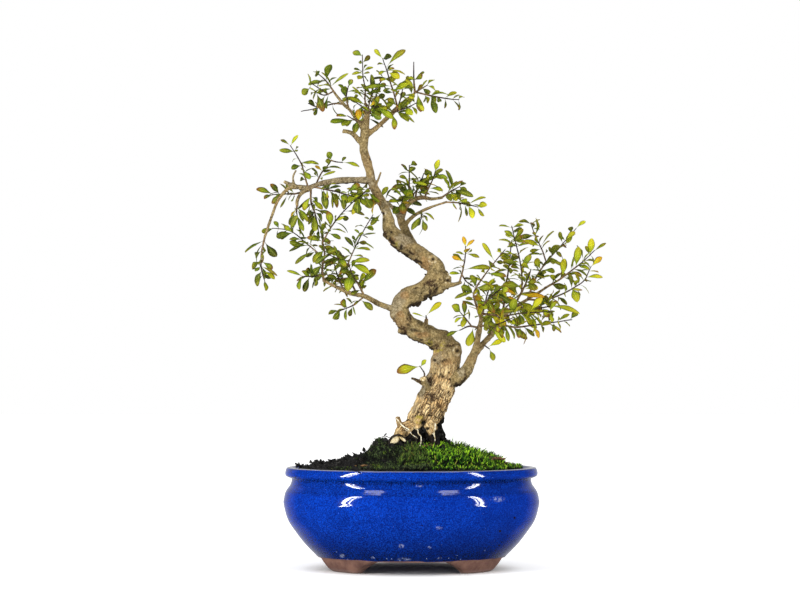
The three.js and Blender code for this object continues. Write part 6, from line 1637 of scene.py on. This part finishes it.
def leathery_leaf():
    """A leaf: green to yellow as it ripens, darker or paler by chance as painted shade, with painted shade along its
    margin and on its underside, a pale rib and fine side veins, and bronze or brown at its tip and edges."""
    f = Finish("pomegranate_leaf", specular=0.16)
    ripe, painted_shade, bronze = f.parts(f.attribute("growth"))
    across, along, below = f.parts(f.attribute("blade_place"))
    paint = f.ramp(f.plus(ripe, f.span(along, 0.1, 0.9, -0.18, 0.11)), *RIPENING)
    # Painted shade: leaves darker by chance.
    paint = f.mix(f.span(painted_shade, 0.0, 0.74, 0.82, 0.0), paint, "232f0b")
    paint = f.over(paint, "a6aa1e", f.noise(240, 3), 0.45, 0.7, 0.3)
    off = f.maths("ABSOLUTE", f.maths("SUBTRACT", across, 0.5))
    rib = f.span(off, 0.012, 0.055, 0.5, 0.0)
    slope = f.plus(f.times(along, 11.0), f.times(off, -9.0))
    veins = f.span(f.maths("ABSOLUTE", f.maths("SUBTRACT", f.maths("FRACT", slope), 0.5)), 0.0, 0.12, 0.2, 0.0)
    paint = f.mix(f.maths("MAXIMUM", rib, veins), paint, "b9c048")
    # Painted shade along the margin.
    paint = f.over(paint, "2b3812", off, 0.3, 0.5, 0.55)
    # Painted shade on the underside.
    paint = f.over(paint, "303c14", below, 0.0, 0.8, 0.5)
    worn = f.maths("MAXIMUM", f.span(along, 0.62, 1.0), f.span(off, 0.34, 0.5, 0.0, 0.8))
    brown = f.mix(f.noise(300, 2), "4e2310", "8a5a20")
    paint = f.mix(f.times(f.times(worn, bronze), 1.1), paint, brown)
    spots = f.times(f.span(f.noise(700, 3, 0.6), 0.68, 0.74), bronze)
    paint = f.mix(spots, paint, "3a1c0c")
    relief = f.times(f.maths("MAXIMUM", rib, veins), -1.0)
    normal = f.bump(f.plus(relief, f.times(f.noise(900, 2), 0.4)), 0.12, 0.6)
    return f.done(paint, f.span(f.noise(200, 2), 0.3, 0.7, 0.42, 0.62), normal)


def twig_bark():
    """Twig bark: grey-brown and cracked at a twig's foot, dark purple-brown and smooth to its tip."""
    f = Finish("twig_bark", specular=0.25)
    young = f.part(f.attribute("growth"), "X")
    old = f.over("4c3826", "8d7450", f.noise(420, 4, 0.7), 0.35, 0.68)
    fresh = f.over("160c0d", "3e2722", f.noise(300, 4), 0.35, 0.7)
    paint = f.over(old, fresh, young, 0.05, 0.4)
    return f.done(paint, f.span(young, 0.0, 0.7, 0.85, 0.55), f.bump(f.noise(800, 4, 0.7), 0.25, 0.7))


leaf_finish, twig_finish = leathery_leaf(), twig_bark()
leaves_of = grown_leaves()
for name, twigs in SPRAYS.items():
    mesh, kinds = spray_mesh(f"leafy_{name}", twigs, leaves_of[name])
    piece(f"leafy_{name}", mesh, [twig_finish, leaf_finish], [f"spray_{name}"])
    mesh.polygons.foreach_set("material_index", kinds)

# ---------- stage, lights and camera ----------
# The bonsai stands on a white floor with a painted glow that grows away from the pot, in a bright white room,
# between two tall soft boxes that show in its glaze. The camera looks at it level from the front.

CAMERA_REACH = 1600
CAMERA_LEFT = 9.1
CAMERA_HEIGHT = 155
VIEW_HEIGHT = 214.3
ROOM_LIGHT = (0.16, 0.76)  # from low behind, and from high in front
MIRRORED_ROOM = (0.05, 0.6)
FLOOR_HALF = 6000
FLOOR_GLOW = [[0.064, 0.0], [0.09, 0.38], [0.2, 0.52], [0.7, 0.66]]  # metres from the middle, and glow there
BOX_REACH, BOX_LIFT = 1500, 60
SOFT_BOXES = {  # azimuth, rise, width, height, lean and power in watts
    "strip_light_left": (-50, 17, 85, 1000, -13, 13), "strip_light_left_edge": (-45, 17, 28, 900, -13, 3.5),
    "strip_light_right": (53, 17, 75, 950, 8, 8), "strip_light_right_edge": (49, 17, 25, 850, 8, 2.5),
    "ceiling_panel_left": (-38, 54, 310, 280, 0, 1.35), "ceiling_panel_right": (38, 54, 310, 280, 0, 1.35),
}


def lit_sweep():
    """A matt white floor with a painted glow: none at the pot's foot, and more and more from there outwards."""
    f = Finish("white_floor", specular=0.1)
    middle = tuple(POT_CENTRE * [0.001, 0.001 / POT_DEPTH_RATIO, 0])
    oval = f.scaled(f.place, 1.0, 1 / POT_DEPTH_RATIO, 1.0)
    reach = f.add("VectorMath", {0: oval, 1: middle}, operation="DISTANCE").node.outputs["Value"]
    # Painted light: the floor glows, nothing at the pot's foot and more outwards.
    glow = f.ramp(reach, *((at, (share, share, share, 1.0)) for at, share in FLOOR_GLOW))
    f.join(f.shader, {"Emission Strength": glow, "Emission Color": (1, 1, 1, 1)})
    return f.done(f.over("fafafa", "f7f7f7", f.noise(9, 3), 0.3, 0.7), 0.95)


def white_room():
    """A white surround: full white where the camera sees it. As light it is softer, and strongest from high in front.
    In reflections it is dim in front, where the dark side of a studio is, and white behind the tree."""
    world = bpy.data.worlds.new("white_room")
    bpy.context.scene.world = world
    room = Nodes(world)
    way, ray = room.add("TexCoord").node.outputs["Generated"], room.add("LightPath").node.outputs
    slope = room.add("VectorMath", {0: way, 1: (0, -0.6, 0.8)}, operation="DOT_PRODUCT").node.outputs["Value"]
    lit = room.eased(slope, -1, 1, *ROOM_LIGHT)
    behind = room.eased(room.add("SeparateXYZ", {0: way}).node.outputs["Y"], 0.45, 0.95, *MIRRORED_ROOM)
    mirrored = room.add("Mix", {0: ray["Is Glossy Ray"], 2: lit, 3: behind})
    seen = room.add("Mix", {0: ray["Is Camera Ray"], 2: mirrored, 3: 1.0})
    room.join(room.tree.nodes["Background"], {"Strength": seen, "Color": (1, 1, 1, 1)})


def soft_box(name, azimuth, rise, wide, high, lean, power):
    """A soft box at an azimuth from the front towards the right and a rise over the floor, both in degrees. It faces
    the pot and leans by some degrees in its own plane."""
    lamp = bpy.data.lights.new(name, "AREA")
    lamp.shape, lamp.size, lamp.size_y, lamp.energy = "RECTANGLE", wide * 0.001, high * 0.001, power
    turn, lift = np.radians(azimuth), np.radians(rise)
    way = np.array([np.sin(turn) * np.cos(lift), -np.cos(turn) * np.cos(lift), np.sin(lift)])
    place = Matrix.Translation((POT_CENTRE + way * BOX_REACH + [0, 0, BOX_LIFT]) * 0.001)
    facing = Matrix.Rotation(turn, 4, "Z") @ Matrix.Rotation(np.radians(90) - lift, 4, "X")
    placed(name, lamp).matrix_world = place @ facing @ Matrix.Rotation(np.radians(lean), 4, "Z")


floor_corners = FLOOR_HALF * np.array([[-1, -1, 0], [1, -1, 0], [1, 1, 0], [-1, 1, 0]], float)
floor = placed("floor", mesh_of("floor", floor_corners, [np.array([[0, 1, 2, 3]])]))
floor.data.materials.append(lit_sweep())
floor.visible_glossy = False
white_room()
for name, row in SOFT_BOXES.items():
    soft_box(name, *row)

lens = bpy.data.cameras.new("camera")
lens.lens, lens.sensor_width, lens.clip_end = 90, 36, 50
camera = placed("camera", lens)
camera.location = (POT_CENTRE + [-CAMERA_LEFT, -CAMERA_REACH, CAMERA_HEIGHT]) * 0.001
tilt = np.arctan2(VIEW_HEIGHT - CAMERA_HEIGHT, CAMERA_REACH)
camera.rotation_euler = (np.radians(90) + tilt, 0, 0)
bpy.context.scene.camera = camera
bpy.context.scene.view_settings.view_transform = "Standard"
